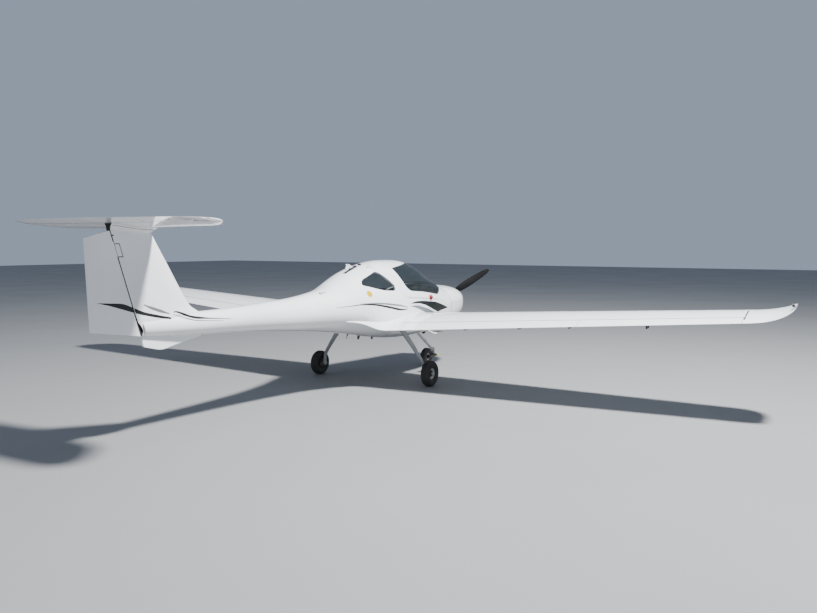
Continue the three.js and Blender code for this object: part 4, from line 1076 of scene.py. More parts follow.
def nose_face(upper):
    """The flat nose face with its share of the inlets, and the inlets' short ducts"""
    made = Piece()
    rim = hull(NOSE_FACE_Y, np.linspace(0, 2 * np.pi, 120, endpoint=False))[:, [0, 2]]
    holes = [ellipse(*row) for row in (*INLETS, SHAFT_HOLE)]
    sign = 1 if upper else -1
    level = COWL_SPLIT_Z + COWL_GAP * sign
    line = [(-400, level), (400, level)]
    flat, triangles = region(rim, holes, 30, line=line, keep=lambda p: (p[:, 1] - level) * sign > 0)
    points = spots(flat[:, 0], NOSE_FACE_Y, flat[:, 1])
    made.add(points, triangles, np.tile(AHEAD, (len(points), 1)))
    for hole in holes:
        own = (hole[:, 1] - level) * sign > -2
        if own.sum() < 3:
            continue
        part = hole
        if not own.all():
            first = next(i for i in range(len(hole)) if own[i] and not own[i - 1])
            part = np.roll(hole, -first, axis=0)[np.roll(own, -first)]
        middle = hole.mean(axis=0) if own.all() else np.array([hole[:, 0].mean(), level])
        ring = [spots(part[:, 0], y, part[:, 1]) for y in (NOSE_FACE_Y, NOSE_FACE_Y + INLET_DEPTH)]
        inwards = spots(middle[0] - part[:, 0], 0, middle[1] - part[:, 1])
        made.grid(ring, around=bool(own.all()), out=np.array([inwards, inwards]))
    return made


def canopy_pieces():
    """The canopy's shell, hinge arms, lining, glass and seal"""
    outer = over_top(CANOPY_LINE, CANOPY_GAP)
    inside_depth = WALL - 4
    shell, inner, seal = Piece(), Piece(), Piece()
    flat, triangles = region(outer, [GLASS_LOOP], 36)
    skin_patch(shell, flat, triangles)
    edge_strip(shell, outer, 0, inside_depth, False)
    shell.place("canopy_frame_skin", "skin", GELCOAT, ["canopy_frame"], "canopy")
    canopy_hinge_arms().place("canopy_hinge_arms", "skin", GELCOAT, body="canopy")
    skin_patch(inner, flat, triangles, inside_depth, inward=True)
    edge_strip(inner, GLASS_LOOP, GLASS_SINK, inside_depth, True)
    inner.place("canopy_lining", "dark_trim", LINING, body="canopy")
    glass_pane("canopy_glass_pane", "canopy", GLASS_LOOP, "canopy_glass")
    edge_strip(seal, GLASS_LOOP, 0, GLASS_SINK, True)
    seal_band(seal, GLASS_LOOP, 7)
    seal.place("canopy_glass_seal", "dark_trim", BLACK_TRIM, body="canopy")


def seal_band(piece, loop, width):
    """A flat black band just inside a pane's edge"""
    along = unit(tangents(loop, 0, True))
    normal = np.stack([along[:, 1], -along[:, 0]], axis=1)
    if np.sum(normal * (loop.mean(axis=0) - loop)) < 0:
        normal = -normal
    depth = GLASS_SINK - 0.5
    piece.grid([on_hull(loop, depth), on_hull(loop + normal * width, depth)], around=True, out=off_hull(loop))


def glass_pane(name, body, loop, node):
    made = Piece()
    flat, triangles = region(loop, [], 36)
    skin_patch(made, flat, triangles, GLASS_SINK)
    skin_patch(made, flat, triangles, GLASS_SINK + GLASS_THICK, inward=True)
    made.place(name, "window", GLASS, [node], body)


# Side outlines of the canopy's hinge arm and of its block on the roof, from the pin: y, z
CANOPY_ARM = [(4, -4), (4, 2), (-1, 4), (-36, -8), (-74, -24), (-96, -42), (-66, -44), (-42, -21)]
CANOPY_BLOCK = [(-4, -30), (-4, -2), (-2, 3.5), (3, 2), (16, -24), (34, -62), (8, -64)]


def shifted(outline, y, z):
    return [(y + a, z + b) for a, b in outline]


def canopy_hinge_arms():
    """Slim arms that run back from the canopy's frame to the pins"""
    made = Piece()
    y, z, middle, long = (CANOPY_HINGE[k] for k in ("y", "z", "x", "long"))
    for side, end in itertools.product((-1, 1), repeat=2):
        made.join(plate(shifted(CANOPY_ARM, y, z), 6, side * middle + end * (long / 2 + 4), 1.2))
    return made


def airframe_canopy_hinges():
    """Low blocks on the roof that hold the pins"""
    made = Piece()
    y, z, pin, long = (CANOPY_HINGE[k] for k in ("y", "z", "pin", "long"))
    for x in (-CANOPY_HINGE["x"], CANOPY_HINGE["x"]):
        made.join(bar((x - long / 2 - 8, y, z), (x + long / 2 + 8, y, z), pin - 4, bevel=0.6))
        made.join(plate(shifted(CANOPY_BLOCK, y, z), long - 18, x, 1.5))
    return made


# Dark fittings along the roof: y, length, width, height
ROOF_FITTINGS = [
    (-420, 30, 50, 9), (-462, 30, 50, 9), (-504, 30, 50, 9), (-552, 34, 52, 22), (-602, 44, 46, 15),
    (-652, 30, 46, 26),
]
CANOPY_FITTING = [(-759, 26, 46, 25)]


def roof_fittings(table):
    """Small dark fittings in a row along the middle of the roof"""
    made = Piece()
    for y, long, wide, tall in table:
        ahead = hull(y - 10, TOP_ANGLE) - hull(y + 10, TOP_ANGLE)
        lean = turn_about("X", -math.degrees(math.atan2(ahead[2], -ahead[1])))
        made.join(block((wide, long, tall), hull(y, TOP_ANGLE) + [0, 0, tall * 0.25], lean, 1.5))
    return made


def stretched(values, count):
    """A few values spread evenly over count places"""
    return np.interp(np.linspace(0, 1, count), np.linspace(0, 1, len(values)), values)


def seam_line(piece, path, widths, side, lift=0.5):
    """A thin line laid on the fuselage along a side-view path"""
    path = resampled(path, 10, False)
    flat = unrolled(path, side)
    across = (offset_path(path, 1) - path) * stretched(widths, len(path))[:, None]
    rows = np.stack([on_hull(unrolled(path + across * sign, side), -lift) for sign in (-0.5, 0.5)], axis=1)
    piece.grid(rows, out=off_hull(flat)[:, None] * np.ones((1, 2, 1)))


def side_patch(piece, corners, side, lift=0.7, step=26.0):
    """A flat shape of paint laid on the side of the fuselage"""
    loop = resampled(unrolled(resampled(rounded(corners, True, 5), 6, True), side), 8, True)
    flat, triangles = region(loop, [], step)
    skin_patch(piece, flat, triangles, -lift)


def disc_patch(piece, y, z, radius, side, lift=0.8):
    flat, triangles = region(unrolled(ellipse(y, z, radius, radius), side), [], radius / 2)
    skin_patch(piece, flat, triangles, -lift)


# Side stripes: the middle of a line as y, z with its widths, and the blades' outlines as y, z, rounding
THIN_LINE = [(209, 1144), (-14, 1153), (-207, 1162), (-447, 1146), (-720, 1098), (-945, 1053), (-1117, 1041)]
THIN_LINE_WIDTHS = (4, 8, 14, 22, 29, 31, 10)
GREY_ECHO = [(-178, 1176), (-450, 1167), (-764, 1134), (-1118, 1076), (-1143, 1046)]
GREY_ECHO_WIDTHS = (4, 16, 23, 24, 9)
BLACK_BLADE = [
    (-1208, 1117, 6), (-1300, 1134, 30), (-1395, 1142, 30), (-1595, 1135, 60), (-1969, 1097, 60),
    (-2200, 1040, 40), (-2389, 982, 0), (-2135, 960, 10), (-2033, 942, 20), (-1870, 994, 60),
    (-1645, 1071, 60), (-1470, 1106, 60),
]
GREY_BLADE = [
    (-1192, 1086, 6), (-1418, 1082, 60), (-1713, 1014, 60), (-1912, 952, 4), (-1817, 923, 10),
    (-1594, 975, 60),
    (-1400, 1041, 60),
]
# The line inside the canopy's edge: y, z
INNER_SEAM = [
    (-874, 1551), (-1016, 1484), (-1058, 1372), (-1115, 1258), (-1221, 1204), (-1475, 1190), (-2075, 1128),
]
INNER_SEAM_WIDTH = 2.2
YELLOW_DOT = {"y": -380, "z": 1294, "radius": 40}
RED_KNOB = {"y": -1808, "z": 1172}
RED_KNOB_FORM = [(0, -6), (35, -6), (36, 4), (34, 15), (27, 26), (16, 34), (0, 36)]


def bent(points, count=60):
    """A smooth path through a few points"""
    points = np.array(points, float)
    along = run_length(points)
    return smooth(np.column_stack([along, points]), np.linspace(0, along[-1], count))[:, 1:]


def side_stripes():
    black, grey = Piece(), Piece()
    for side in (1, -1):
        seam_line(black, bent(THIN_LINE), THIN_LINE_WIDTHS, side)
        seam_line(grey, bent(GREY_ECHO), GREY_ECHO_WIDTHS, side)
        side_patch(black, BLACK_BLADE, side)
        side_patch(grey, GREY_BLADE, side)
    black.place("side_stripes_black", "dark_trim", STRIPE_BLACK)
    grey.place("side_stripes_grey", "dark_trim", STRIPE_GREY)


def side_angles(y, z):
    """The angles round the fuselage of a side-view point, on the left and on the right"""
    angle = float(side_angle(y, z)[0])
    return angle, math.pi - angle


def side_dots():
    angles = side_angles(RED_KNOB["y"], RED_KNOB["z"])
    for side, name, angle in ((1, "left", angles[0]), (-1, "right", angles[1])):
        yellow = Piece()
        disc_patch(yellow, YELLOW_DOT["y"], YELLOW_DOT["z"], YELLOW_DOT["radius"], side)
        yellow.place(f"yellow_dot_{name}", "skin", DOT_YELLOW)
        foot, out = hull(RED_KNOB["y"], angle), hull_normals(RED_KNOB["y"], angle)
        lathe(RED_KNOB_FORM, foot, out, 32, 40).place(f"red_dot_{name}", "skin", DOT_RED, body="canopy")


# Wing

def wing_values(x):
    """Leading and trailing edge and thickness of the straight wing at a span station"""
    chord = WING["chord"] + WING["taper"] * x
    te_y = WING["te_y"] + WING["te_sweep"] * x
    te_z = WING["te_z"] + WING["dihedral"] * x
    return te_y - chord, te_z + WING["incidence"] * chord, te_y, te_z, WING["thick"] * chord


def wing_skin(x, y, side):
    """Height of the wing's upper (1) or lower (-1) skin"""
    le_y, le_z, te_y, te_z, thick = wing_values(x)
    c = np.clip((y - le_y) / (te_y - le_y), 0, 1)
    own = np.hypot(te_y - le_y, te_z - le_z)
    return le_z + (te_z - le_z) * c + bow_law(c, WING["camber"]) * own + side * thickness_law(c) * thick


def wing_hinge(x):
    le_y, _, te_y, _, _ = wing_values(x)
    y = te_y - (te_y - le_y) * (1 - HINGE_CHORD)
    z = float(wing_skin(x, y, -1)) - HINGE_DROP
    return y, z, float(wing_skin(x, y, 1)) - z


def circle_meets(x, side, y, z, radius):
    """Where a circle about the hinge meets the wing's skin ahead of it"""
    near, far = y, y - radius
    for _ in range(40):
        middle = (near + far) / 2
        if (middle - y) ** 2 + (float(wing_skin(x, middle, side)) - z) ** 2 > radius**2:
            far = middle
        else:
            near = middle
    return near


CHORD_COUNT = 30
ARC_COUNT = 14


def hinge_cut(x, gap):
    """Upper and lower cut places at a station, and the arc between them"""
    y, z, radius = wing_hinge(x)
    reach = radius + gap
    upper = circle_meets(x, 1, y, z, reach) if gap else y
    lower = circle_meets(x, -1, y, z, reach)
    start, end = (
        math.atan2(float(wing_skin(x, at, side)) - z, at - y) for at, side in ((upper, 1), (lower, -1))
    )
    if end < 0:
        end += 2 * math.pi
    return upper, lower, hinge_arc(x, y, z, reach, start, end)


def hinge_arc(x, y, z, radius, start, end):
    turn = np.linspace(start, end, ARC_COUNT)
    return spots(x, y + radius * np.cos(turn), z + radius * np.sin(turn))


def skin_run(x, y, side):
    return spots(x, y, wing_skin(x, y, side))


def eased(start, end, count, both=False):
    """Values from start to end, closer together at the start, or at both ends"""
    t = np.linspace(0, 1, count)
    t = (1 - np.cos(np.pi * t)) / 2 if both else 1 - np.cos(np.pi / 2 * t)
    return start + (end - start) * t


def front_section(x, cut):
    """Skin ahead of a cut: from the upper lip round the leading edge to the lower lip"""
    le_y = wing_values(x)[0]
    upper, lower = cut[:2]
    top = skin_run(x, eased(le_y, upper, CHORD_COUNT), 1)[::-1]
    return np.vstack([top, skin_run(x, eased(le_y, lower, CHORD_COUNT), -1)[1:]])


def even_stations(start, end):
    """Places along the span, at most about 400 apart"""
    return np.linspace(start, end, max(2, int((end - start) / 400) + 2))


def wing_panel():
    """The wing's skin with the coves ahead of its flap and aileron"""
    made = Piece()
    root = WING["root"] + 0.3
    stops = [
        root, FLAP["from"] - RIB_GAP, FLAP["to"] + RIB_GAP,
        AILERON["from"] - RIB_GAP, AILERON["to"] + RIB_GAP, WING["tip"],
    ]
    for k, (start, end) in enumerate(zip(stops[:-1], stops[1:])):
        stations = even_stations(start, end)
        cuts = [hinge_cut(x, SURFACE_GAP) for x in stations]
        made.grid([front_section(x, cut) for x, cut in zip(stations, cuts)])
        if k % 2:
            hinge = np.array([(x, *wing_hinge(x)[:2]) for x in stations])
            arcs = np.array([cut[2] for cut in cuts])
            made.grid(arcs, out=hinge[:, None] - arcs)
            continue
        rear = [rear_section(x, cut) for x, cut in zip(stations, cuts)]
        for side, out in enumerate((UP, DOWN)):
            made.grid([row[side] for row in rear], out=out)
        made.grid([(upper[-1], lower[-1]) for upper, lower in rear], out=AFT)
    for x, toward in zip(stops[1:-1], (1, -1, 1, -1)):
        cut = hinge_cut(x, SURFACE_GAP)
        upper, lower = rear_section(x, cut)
        made.fill(np.vstack([upper, lower[::-1], cut[2][::-1][1:-1]]), (toward, 0, 0))
    le_y, le_z, te_y, te_z, thick = wing_values(WING["root"])
    rib = airfoil_loop(root, (le_y, le_z), (te_y, te_z), thick, WING["camber"], eased(0, 1, 24, True))
    made.fill(rib, (-1, 0, 0))
    return made


# How far the brackets that show dark hang below their hinge, by x
BRACKET_DEPTHS = {1610: 28, 2340: 28, 2980: 30, 3890: 50}
SHALLOW_BRACKET = 15


def wing_brackets():
    """The arms that show dark below the trailing edge, and the shallow white ones"""
    dark, white = Piece(), Piece()
    for table in (FLAP, AILERON):
        for x in table["hinges"]:
            arm = wing_bracket(x, BRACKET_DEPTHS.get(x, SHALLOW_BRACKET))
            (dark if x in BRACKET_DEPTHS else white).join(arm)
    return dark, white


# Black line beside the aileron's outer end, painted shade in the gap: span from and to, front and rear share
# of the chord, lift
TIP_GAP_SHADE = {"from": 4923, "to": 4938, "front": 0.40, "rear": 0.87, "lift": 0.7}


def tip_gap_shade_line():
    """A short black line on the upper skin beside the aileron's outer end: painted shade in the gap there"""
    made = Piece()
    rows = []
    for x in (TIP_GAP_SHADE["from"], TIP_GAP_SHADE["to"]):
        le_y, _, te_y, _, _ = wing_values(x)
        front, rear = (le_y + TIP_GAP_SHADE[k] * (te_y - le_y) for k in ("front", "rear"))
        rows.append(skin_run(x, np.linspace(front, rear, 24), 1) + [0, 0, TIP_GAP_SHADE["lift"]])
    made.grid(rows, out=UP)
    return made


def tip_edges(row):
    """Leading edge, trailing edge and chord of the upturned tip from a row of its table"""
    _, x, le_y, te_y, lift = row
    own = te_y - le_y
    te_z = WING["te_z"] + WING["dihedral"] * x + lift
    return x, (le_y, te_z + WING["incidence"] * own), (te_y, te_z), own


STROBE_LENS = [(0, -20), (15, -20), (15, 12), (12, 20), (7, 24.5), (0, 25.5)]
STROBE_SEAT = [(0, -22), (19, -22), (19, 2), (16, 4), (0, 4)]
STROBE_INSET = 26
# Share of the tip's chord behind the leading edge, and of its rise above the trailing edge
STROBE_PLACE = (0.62, 0.4)


def tip_strobe():
    """The small clear lamp at the very end of a wing tip, and its seat"""
    x, leading, trailing, own = tip_edges(WING_TIP[-1])
    back, rise = STROBE_PLACE
    at = (x - STROBE_INSET, leading[0] + back * own, trailing[1] + WING["incidence"] * own * rise)
    return lathe(STROBE_LENS, at, LEFT, 28, 40), lathe(STROBE_SEAT, at, LEFT, 28, 40)


def rear_section(x, cut):
    """Upper and lower skin behind a cut, as far as the trailing edge"""
    te_y = wing_values(x)[2]
    upper, lower = cut[:2]
    return skin_run(x, np.linspace(upper, te_y, 12), 1), skin_run(x, np.linspace(lower, te_y, 12), -1)


def wing_bracket(x, deep):
    """The fixed arm that carries a flap or an aileron, under the wing"""
    y, z, radius = wing_hinge(x)
    front = y - radius
    skin = float(wing_skin(x, front - 80, -1))
    outline = [
        (front - 90, skin + 8), (front - 78, z - 3), (front - 36, z - deep + 4), (y - 8, z - deep),
        (y + 6, z - deep * 0.7), (y + 8, z), (y + 3, z + 6), (front - 12, z + 7), (front - 20, z + 30),
    ]
    made = plate(outline, HINGE_ARM, x, 1.5)
    made.join(bar((x - 12, y, z), (x + 12, y, z), HINGE_PIN, sides=14))
    return made


def notched_runs(start, end, hinges):
    """Stretches of a control surface along the span; every second one is notched for a bracket"""
    half = HINGE_ROOM / 2
    edges = [float(start), *(x + side * half for x in hinges for side in (-1, 1)), float(end)]
    return [(low, high, k % 2 == 1) for k, (low, high) in enumerate(zip(edges[:-1], edges[1:]))]


def control_surface(table):
    """A flap or an aileron with a round nose, closed ribs and room for its brackets"""
    made = Piece()
    for start, end, notched in notched_runs(table["from"], table["to"], table["hinges"]):
        stations = np.linspace(start, end, 2) if notched else even_stations(start, end)
        sections = [surface_section(x, notched) for x in stations]
        for j in range(len(sections[0])):
            made.grid([s[j] for s in sections], out=sections_out(sections, j))
    for x, toward in ((table["from"], -1), (table["to"], 1)):
        made.fill(np.vstack(surface_section(x, False)[:2]), (toward, 0, 0))
    for x in table["hinges"]:
        y, z, _ = wing_hinge(x)
        skin = float(wing_skin(x, y + 30, -1))
        outline = [(y - 7, z - 5), (y + 3, z - 8), (y + 60, skin - 2), (y + 62, skin + 4), (y - 8, z + 11)]
        for side in (-1, 1):
            made.join(plate(outline, 4, x + side * 15.5, 0.8))
    return made


def sections_out(sections, j):
    """The way that run j of a surface's sections faces"""
    if j > 0:
        return (None, DOWN, AFT, DOWN, AHEAD)[j]
    middles = [(*s[0][len(s[0]) // 2, :1], *s[1].mean(axis=0)[1:]) for s in sections]
    return np.array([s[0] for s in sections]) - (np.array(middles) + [0, 0, 12])[:, None]


def surface_section(x, notched):
    """Runs of a surface's section: top and nose, lower skin, trailing edge, and a notch's roof and wall"""
    y, z, radius = wing_hinge(x)
    te_y = wing_values(x)[2]
    _, lower, arc = hinge_cut(x, 0)
    top = skin_run(x, np.linspace(te_y, y, 16), 1)
    if notched:
        arc = hinge_arc(x, y, z, radius, math.pi / 2, math.radians(146))
        lower = y + 24
    upper = np.vstack([top, arc[1:]])
    under = skin_run(x, np.linspace(lower, te_y, 14), -1)
    edge = np.array([under[-1], top[0]])
    if not notched:
        return upper, under, edge
    corner = (x, lower, arc[-1, 2])
    return upper, under, edge, np.array([arc[-1], corner]), np.array([corner, under[0]])


def wing_tip():
    """The upturned tip outboard of the aileron"""
    share = np.concatenate([np.linspace(0, 0.9, 26), np.linspace(0.92, 1, 10)])
    sections = []
    for row in smooth(WING_TIP, share):
        x, leading, trailing, own = tip_edges(row)
        x = min(x, WING_TIP[-1][1])
        thick = WING["thick"] * own
        sections.append(airfoil_loop(x, leading, trailing, thick, WING["camber"], cosine_chord(40)))
    made = wrapped_skin(sections)
    made.fill(sections[-1], LEFT)
    return made


TIP_LAMP_FORM = [(0, -24), (20, -24), (20, 0), (18, 9), (13, 16), (7, 20), (0, 21)]
TIP_LAMP_SHARE = 0.6


def tip_lamp(side, material):
    """A small position lamp faired into the leading edge of a wing tip"""
    x, (le_y, le_z), _, _ = tip_edges(smooth(WING_TIP, TIP_LAMP_SHARE)[0])
    made = lathe(TIP_LAMP_FORM, (x, le_y + 12, le_z), (0.35, -0.93, 0), 32, 40)
    made = made if side > 0 else made.mirrored()
    made.place("tip_lamp_left" if side > 0 else "tip_lamp_right", "window", material)


SCREW_HEAD = [(0, -2), (5.5, -2), (5.5, 0.5), (4.5, 1.2), (1.2, 1.2), (1.2, 0.4), (0, 0.4)]


def cowl_screws():
    """Quarter-turn screws along the cowling's split and its aft edge"""
    made = Piece()
    places = [(y, COWL_SPLIT_Z + 18) for y in range(-3230, -2560, 74)]
    places += [(COWL_AFT_Y - 16, z) for z in range(700, 1300, 85)]
    for y, z in places:
        for angle in side_angles(y, z):
            made.join(lathe(SCREW_HEAD, hull(y, angle), hull_normals(y, angle), 14))
    made.place("cowl_screws", "sheet_steel", STEEL)


# Tail

def fin_values(z):
    """Leading edge, trailing edge and thickness of the fin at a height"""
    z = np.ravel(z)
    rows = straight(FIN, z)
    leading = smooth([row[:2] for row in FIN[1:]], np.maximum(z, FIN[1][0]))[:, 1]
    leading = np.where(z < FIN[1][0], rows[:, 1], np.maximum(leading, rows[:, 1] - 12))
    return leading, rows[:, 2], rows[:, 3]


def fin_half(y, z):
    leading, trailing, thick = fin_values(z)
    c = np.clip((np.ravel(y) - leading) / (trailing - leading), 0, 1)
    return thickness_law(c) * thick


def rudder_axis(z):
    (low_y, low_z), (high_y, high_z) = RUDDER_AXIS["low"], RUDDER_AXIS["high"]
    return low_y + (np.asarray(z, float) - low_z) * (high_y - low_y) / (high_z - low_z)


def tailplane_under(y):
    """Height of the tailplane's underside above the fin"""
    return on_tailplane(0, y, -stabiliser_half(0, y))[..., 2]


FIN_ROOT_FLARE = 9
FIN_TOP_FLARE = 26
FIN_HEEL = {"low": 1060, "high": 1190, "top": 1152, "front": 2930, "room": 30}
# The fin's end under the tailplane: height, the last y that is free, the elevator's room
FIN_HEAD = {"from": 2072, "last": 3313, "room": 34}
COVE_RADIUS = 4


def fin_side(y, z, leading):
    """Half thickness of the fin with its soft root and its flare under the tailplane"""
    root = FIN_ROOT_FLARE * np.maximum(0, 1 - np.maximum(0, z - 1222) / 70) ** 2
    top = FIN_TOP_FLARE * np.clip(1 - (tailplane_under(y) - z) / 64, 0, 1) ** 2.2
    return fin_half(y, z) + (root + top) * np.clip((y - leading) / 60, 0, 1) ** 0.5


def fin_leading(z):
    """Leading edge of the fin, which sweeps forward where it meets the tailplane"""
    leading = float(fin_values(z)[0][0])
    below = float(tailplane_under(leading)[0]) - z
    return leading - 105 * min(1, max(0, 1 - below / 80)) ** 2.6


def fin_lip(z):
    """Where the fin's skin ends ahead of the rudder; the gap widens in a curve towards the keel"""
    share = min(1, max(0, (FIN_HEEL["high"] - z) / (FIN_HEEL["high"] - FIN_HEEL["low"])))
    return float(rudder_axis(z)) - RUDDER_GAP - FIN_HEEL["room"] * math.sin(0.85 * math.pi * share)


def fin_heel():
    """The fin's foot behind the end of the fuselage"""
    made = Piece()
    low, high = FIN_HEEL["low"], FIN_HEEL["top"]
    walls = []
    for side in (-1, 1):
        rows = []
        for z in np.linspace(low, high, 14):
            y = np.linspace(FIN_HEEL["front"], fin_lip(z), 8)
            flare = FIN_ROOT_FLARE * (z - low) / (high - low)
            rows.append(spots(side * (fin_half(y, z) + flare), y, z))
        made.grid(rows, out=(side, 0, 0))
        walls.append(rows[0])
    made.fill(np.vstack([walls[0], walls[1][::-1]]), DOWN)
    return made


def fin_body():
    """The fin ahead of the rudder, and the cove that the rudder's nose turns in, painted black as the shade
    in the gap
    """
    made, shaded_cove = Piece(), Piece()
    heights = np.concatenate([
        np.linspace(1150, 1330, 22), np.linspace(1350, 2040, 24), np.linspace(2050, 2140, 22),
    ])
    turn = np.linspace(-math.pi / 2, -1.5 * math.pi, 12)
    sections, coves = [], []
    for z in heights:
        leading, lip, radius = fin_leading(z), fin_lip(z), COVE_RADIUS
        if z > FIN_HEAD["from"]:
            room = math.sqrt(max(0, FIN_HEAD["room"] ** 2 - (STABILISER_Z - z) ** 2))
            lip = min(lip, FIN_HEAD["last"], ELEVATOR_HINGE_Y - room)
        y = eased(leading, lip, 26)
        half = fin_side(y, np.full_like(y, z), leading)
        if z < FIN_HEAD["from"]:
            radius = max(half[-1] - 1, radius)
        sections.append(np.vstack([spots(-half, y, z)[::-1], spots(half, y, z)[1:]]))
        coves.append(spots(np.sin(turn) * half[-1], lip + np.cos(turn) * radius, z))
    made.grid(sections)
    made.join(fin_heel())
    (low_y, low_z), (high_y, high_z) = RUDDER_AXIS["low"], RUDDER_AXIS["high"]
    lean = turn_about("X", -math.degrees(math.atan2(high_y - low_y, high_z - low_z)))
    for z in RUDDER_HINGES:
        y = float(rudder_axis(z))
        made.join(block((16, 74, 11), (0, y - 32, z - 2), lean, 1.5))
        made.join(bar((0, y - 3.6, z - 12), (0, y + 3.6, z + 12), HINGE_PIN, sides=14))
    # The cove is black: painted shade in the gap between fin and rudder
    shaded_cove.grid(coves, out=spots(0, rudder_axis(heights), heights)[:, None] - np.array(coves))
    return made, shaded_cove


# Joint between the fin and the fairing under the tailplane: y, z
FIN_TOP_JOINT = [(3306, 2122), (3212, 2112), (3113, 2099), (2965, 2088), (2860, 2086), (2790, 2086)]
FIN_TOP_JOINT_HALF = 2.2
HINGE_COVER = {"low": 1826, "high": 1948, "ahead": 58}
HINGE_COVER_LINE = 8
# The black mark above the cover, painted shade where the rudder's gap widens: distance ahead of the hinge
# line, lower and upper height
UPPER_HINGE_MARK = {"ahead": 30, "low": 2019, "high": 2033}


def fin_patch(piece, side, corners, lift, counts):
    """A patch on the fin between two edges, each end a distance ahead of the hinge line and a height"""
    rows = []
    for t in np.linspace(0, 1, counts[0]):
        (ahead, low), (behind, high) = ((1 - t) * np.array(a) + t * np.array(b) for a, b in corners)
        z = np.linspace(low, high, counts[1])
        y = rudder_axis(z) - np.linspace(ahead, behind, counts[1])
        rows.append(spots(side * (fin_half(y, z) + lift), y, z))
    piece.grid(rows, out=(side, 0, 0))


def rudder_hinge_cover():
    """The plate over the upper rudder hinge, black strips round it that paint the shade in the rudder's gap,
    and a black strip along the fin's top joint
    """
    made, joint = Piece(), Piece()
    low, high, ahead = (HINGE_COVER[k] for k in ("low", "high", "ahead"))
    line = HINGE_COVER_LINE
    lip = RUDDER_GAP + 0.5
    at, z = bent(FIN_TOP_JOINT, 40).T
    half = np.array([fin_side(np.array([a]), np.array([b]), fin_leading(b))[0] for a, b in zip(at, z)])
    for side in (-1, 1):
        fin_patch(made, side, (((ahead, low), (ahead, high)), ((lip, low), (lip, high))), 1.3, (12, 10))
        # Black strips round the cover and the mark above it: painted shade in the rudder's gap
        edge = ahead + line
        fin_patch(joint, side, (((ahead, low), (ahead, high)), ((edge, low), (edge, high))), 0.7, (8, 2))
        for level in (low, high):
            under, over = level - line / 2, level + line / 2
            fin_patch(joint, side, (((edge, under), (lip, under)), ((edge, over), (lip, over))), 1.6, (8, 2))
        mark, under, over = (UPPER_HINGE_MARK[k] for k in ("ahead", "low", "high"))
        fin_patch(joint, side, (((mark, under), (mark, over)), ((lip, under), (lip, over))), 1.2, (8, 2))
    for side in (-1, 1):
        rises = (-FIN_TOP_JOINT_HALF, FIN_TOP_JOINT_HALF)
        edges = [spots(side * (half + 1.2), at, z + rise) for rise in rises]
        joint.grid(edges, out=(side, 0, 0))
    return made, joint


def rudder_row(share_up):
    """One rudder section, hinge line to trailing edge, right and left, and its nose round the hinge"""
    foot, head = np.array(RUDDER_BOTTOM, float), np.array(RUDDER_TOP, float)
    (_, axis_z), back = foot + (head - foot) * share_up
    axis_y = float(rudder_axis(axis_z))
    t = np.linspace(0, 1, 22)
    y = axis_y + (back[0] - axis_y) * t
    z = axis_z + (back[1] - axis_z) * t
    half = fin_half(np.minimum(y, fin_values(z)[1]), z)
    turn = np.linspace(-math.pi / 2, -1.5 * math.pi, 16)
    nose = spots(np.sin(turn) * half[0], axis_y + np.cos(turn) * (half[0] - 2), axis_z)
    return spots(-half, y, z), spots(half, y, z), nose


def rudder_body():
    """The rudder's skin, and the parts of its nose that show in the gap, painted black as shade"""
    made, front = Piece(), Piece()
    rows = [rudder_row(share) for share in np.linspace(0, 1, 30)]
    right, left, noses = (np.array(part) for part in zip(*rows))
    made.grid(right[:, ::-1], out=(-1, 0, 0))
    made.grid(left, out=LEFT)
    made.grid(np.stack([right[:, -1], left[:, -1]], axis=1), out=AFT)
    # Below and above the hinge cover the nose is black, painted shade in the gap; between those heights it is
    # white
    low, high = (int(np.argmin(np.abs(noses[:, 0, 2] - HINGE_COVER[k]))) for k in ("low", "high"))
    for piece, part in ((front, slice(0, low + 1)), (made, slice(low, high + 1)), (front, slice(high, None))):
        piece.grid(noses[part], out=AHEAD)
    for k, up in ((0, -1), (-1, 1)):
        made.fill(np.vstack([right[k, ::-1], noses[k, 1:-1], left[k]]), (0, -0.165 * up, up))
    return made, front


def stabiliser_values(x):
    """Leading and trailing edge of the tailplane"""
    return smooth(STABILISER, np.abs(np.ravel(x))).T[1:]


TIP_STATIONS = [1000, 1060, 1110, 1150, 1190, 1225, 1260, 1283, 1300, 1313, 1321, 1325]


def stabiliser_half(x, y):
    """Half thickness of the tailplane, with rounded tips"""
    leading, trailing = stabiliser_values(x)
    c = np.clip((np.ravel(y) - leading) / (trailing - leading), 0, 1)
    start, reach = STABILISER_TIP
    rounding = np.sqrt(1 - np.clip((np.abs(np.ravel(x)) - start) / reach, 0, 1) ** 2)
    return thickness_law(c) * STABILISER_THICK * (trailing - leading) * rounding


def on_tailplane(x, y, lift):
    """Points of the tailplane, which is turned about the elevator's hinge line"""
    turn = math.radians(STABILISER_SET)
    ahead = y - ELEVATOR_HINGE_Y
    return spots(x, ELEVATOR_HINGE_Y + ahead * math.cos(turn) - lift * math.sin(turn),
                 STABILISER_Z + ahead * math.sin(turn) + lift * math.cos(turn))


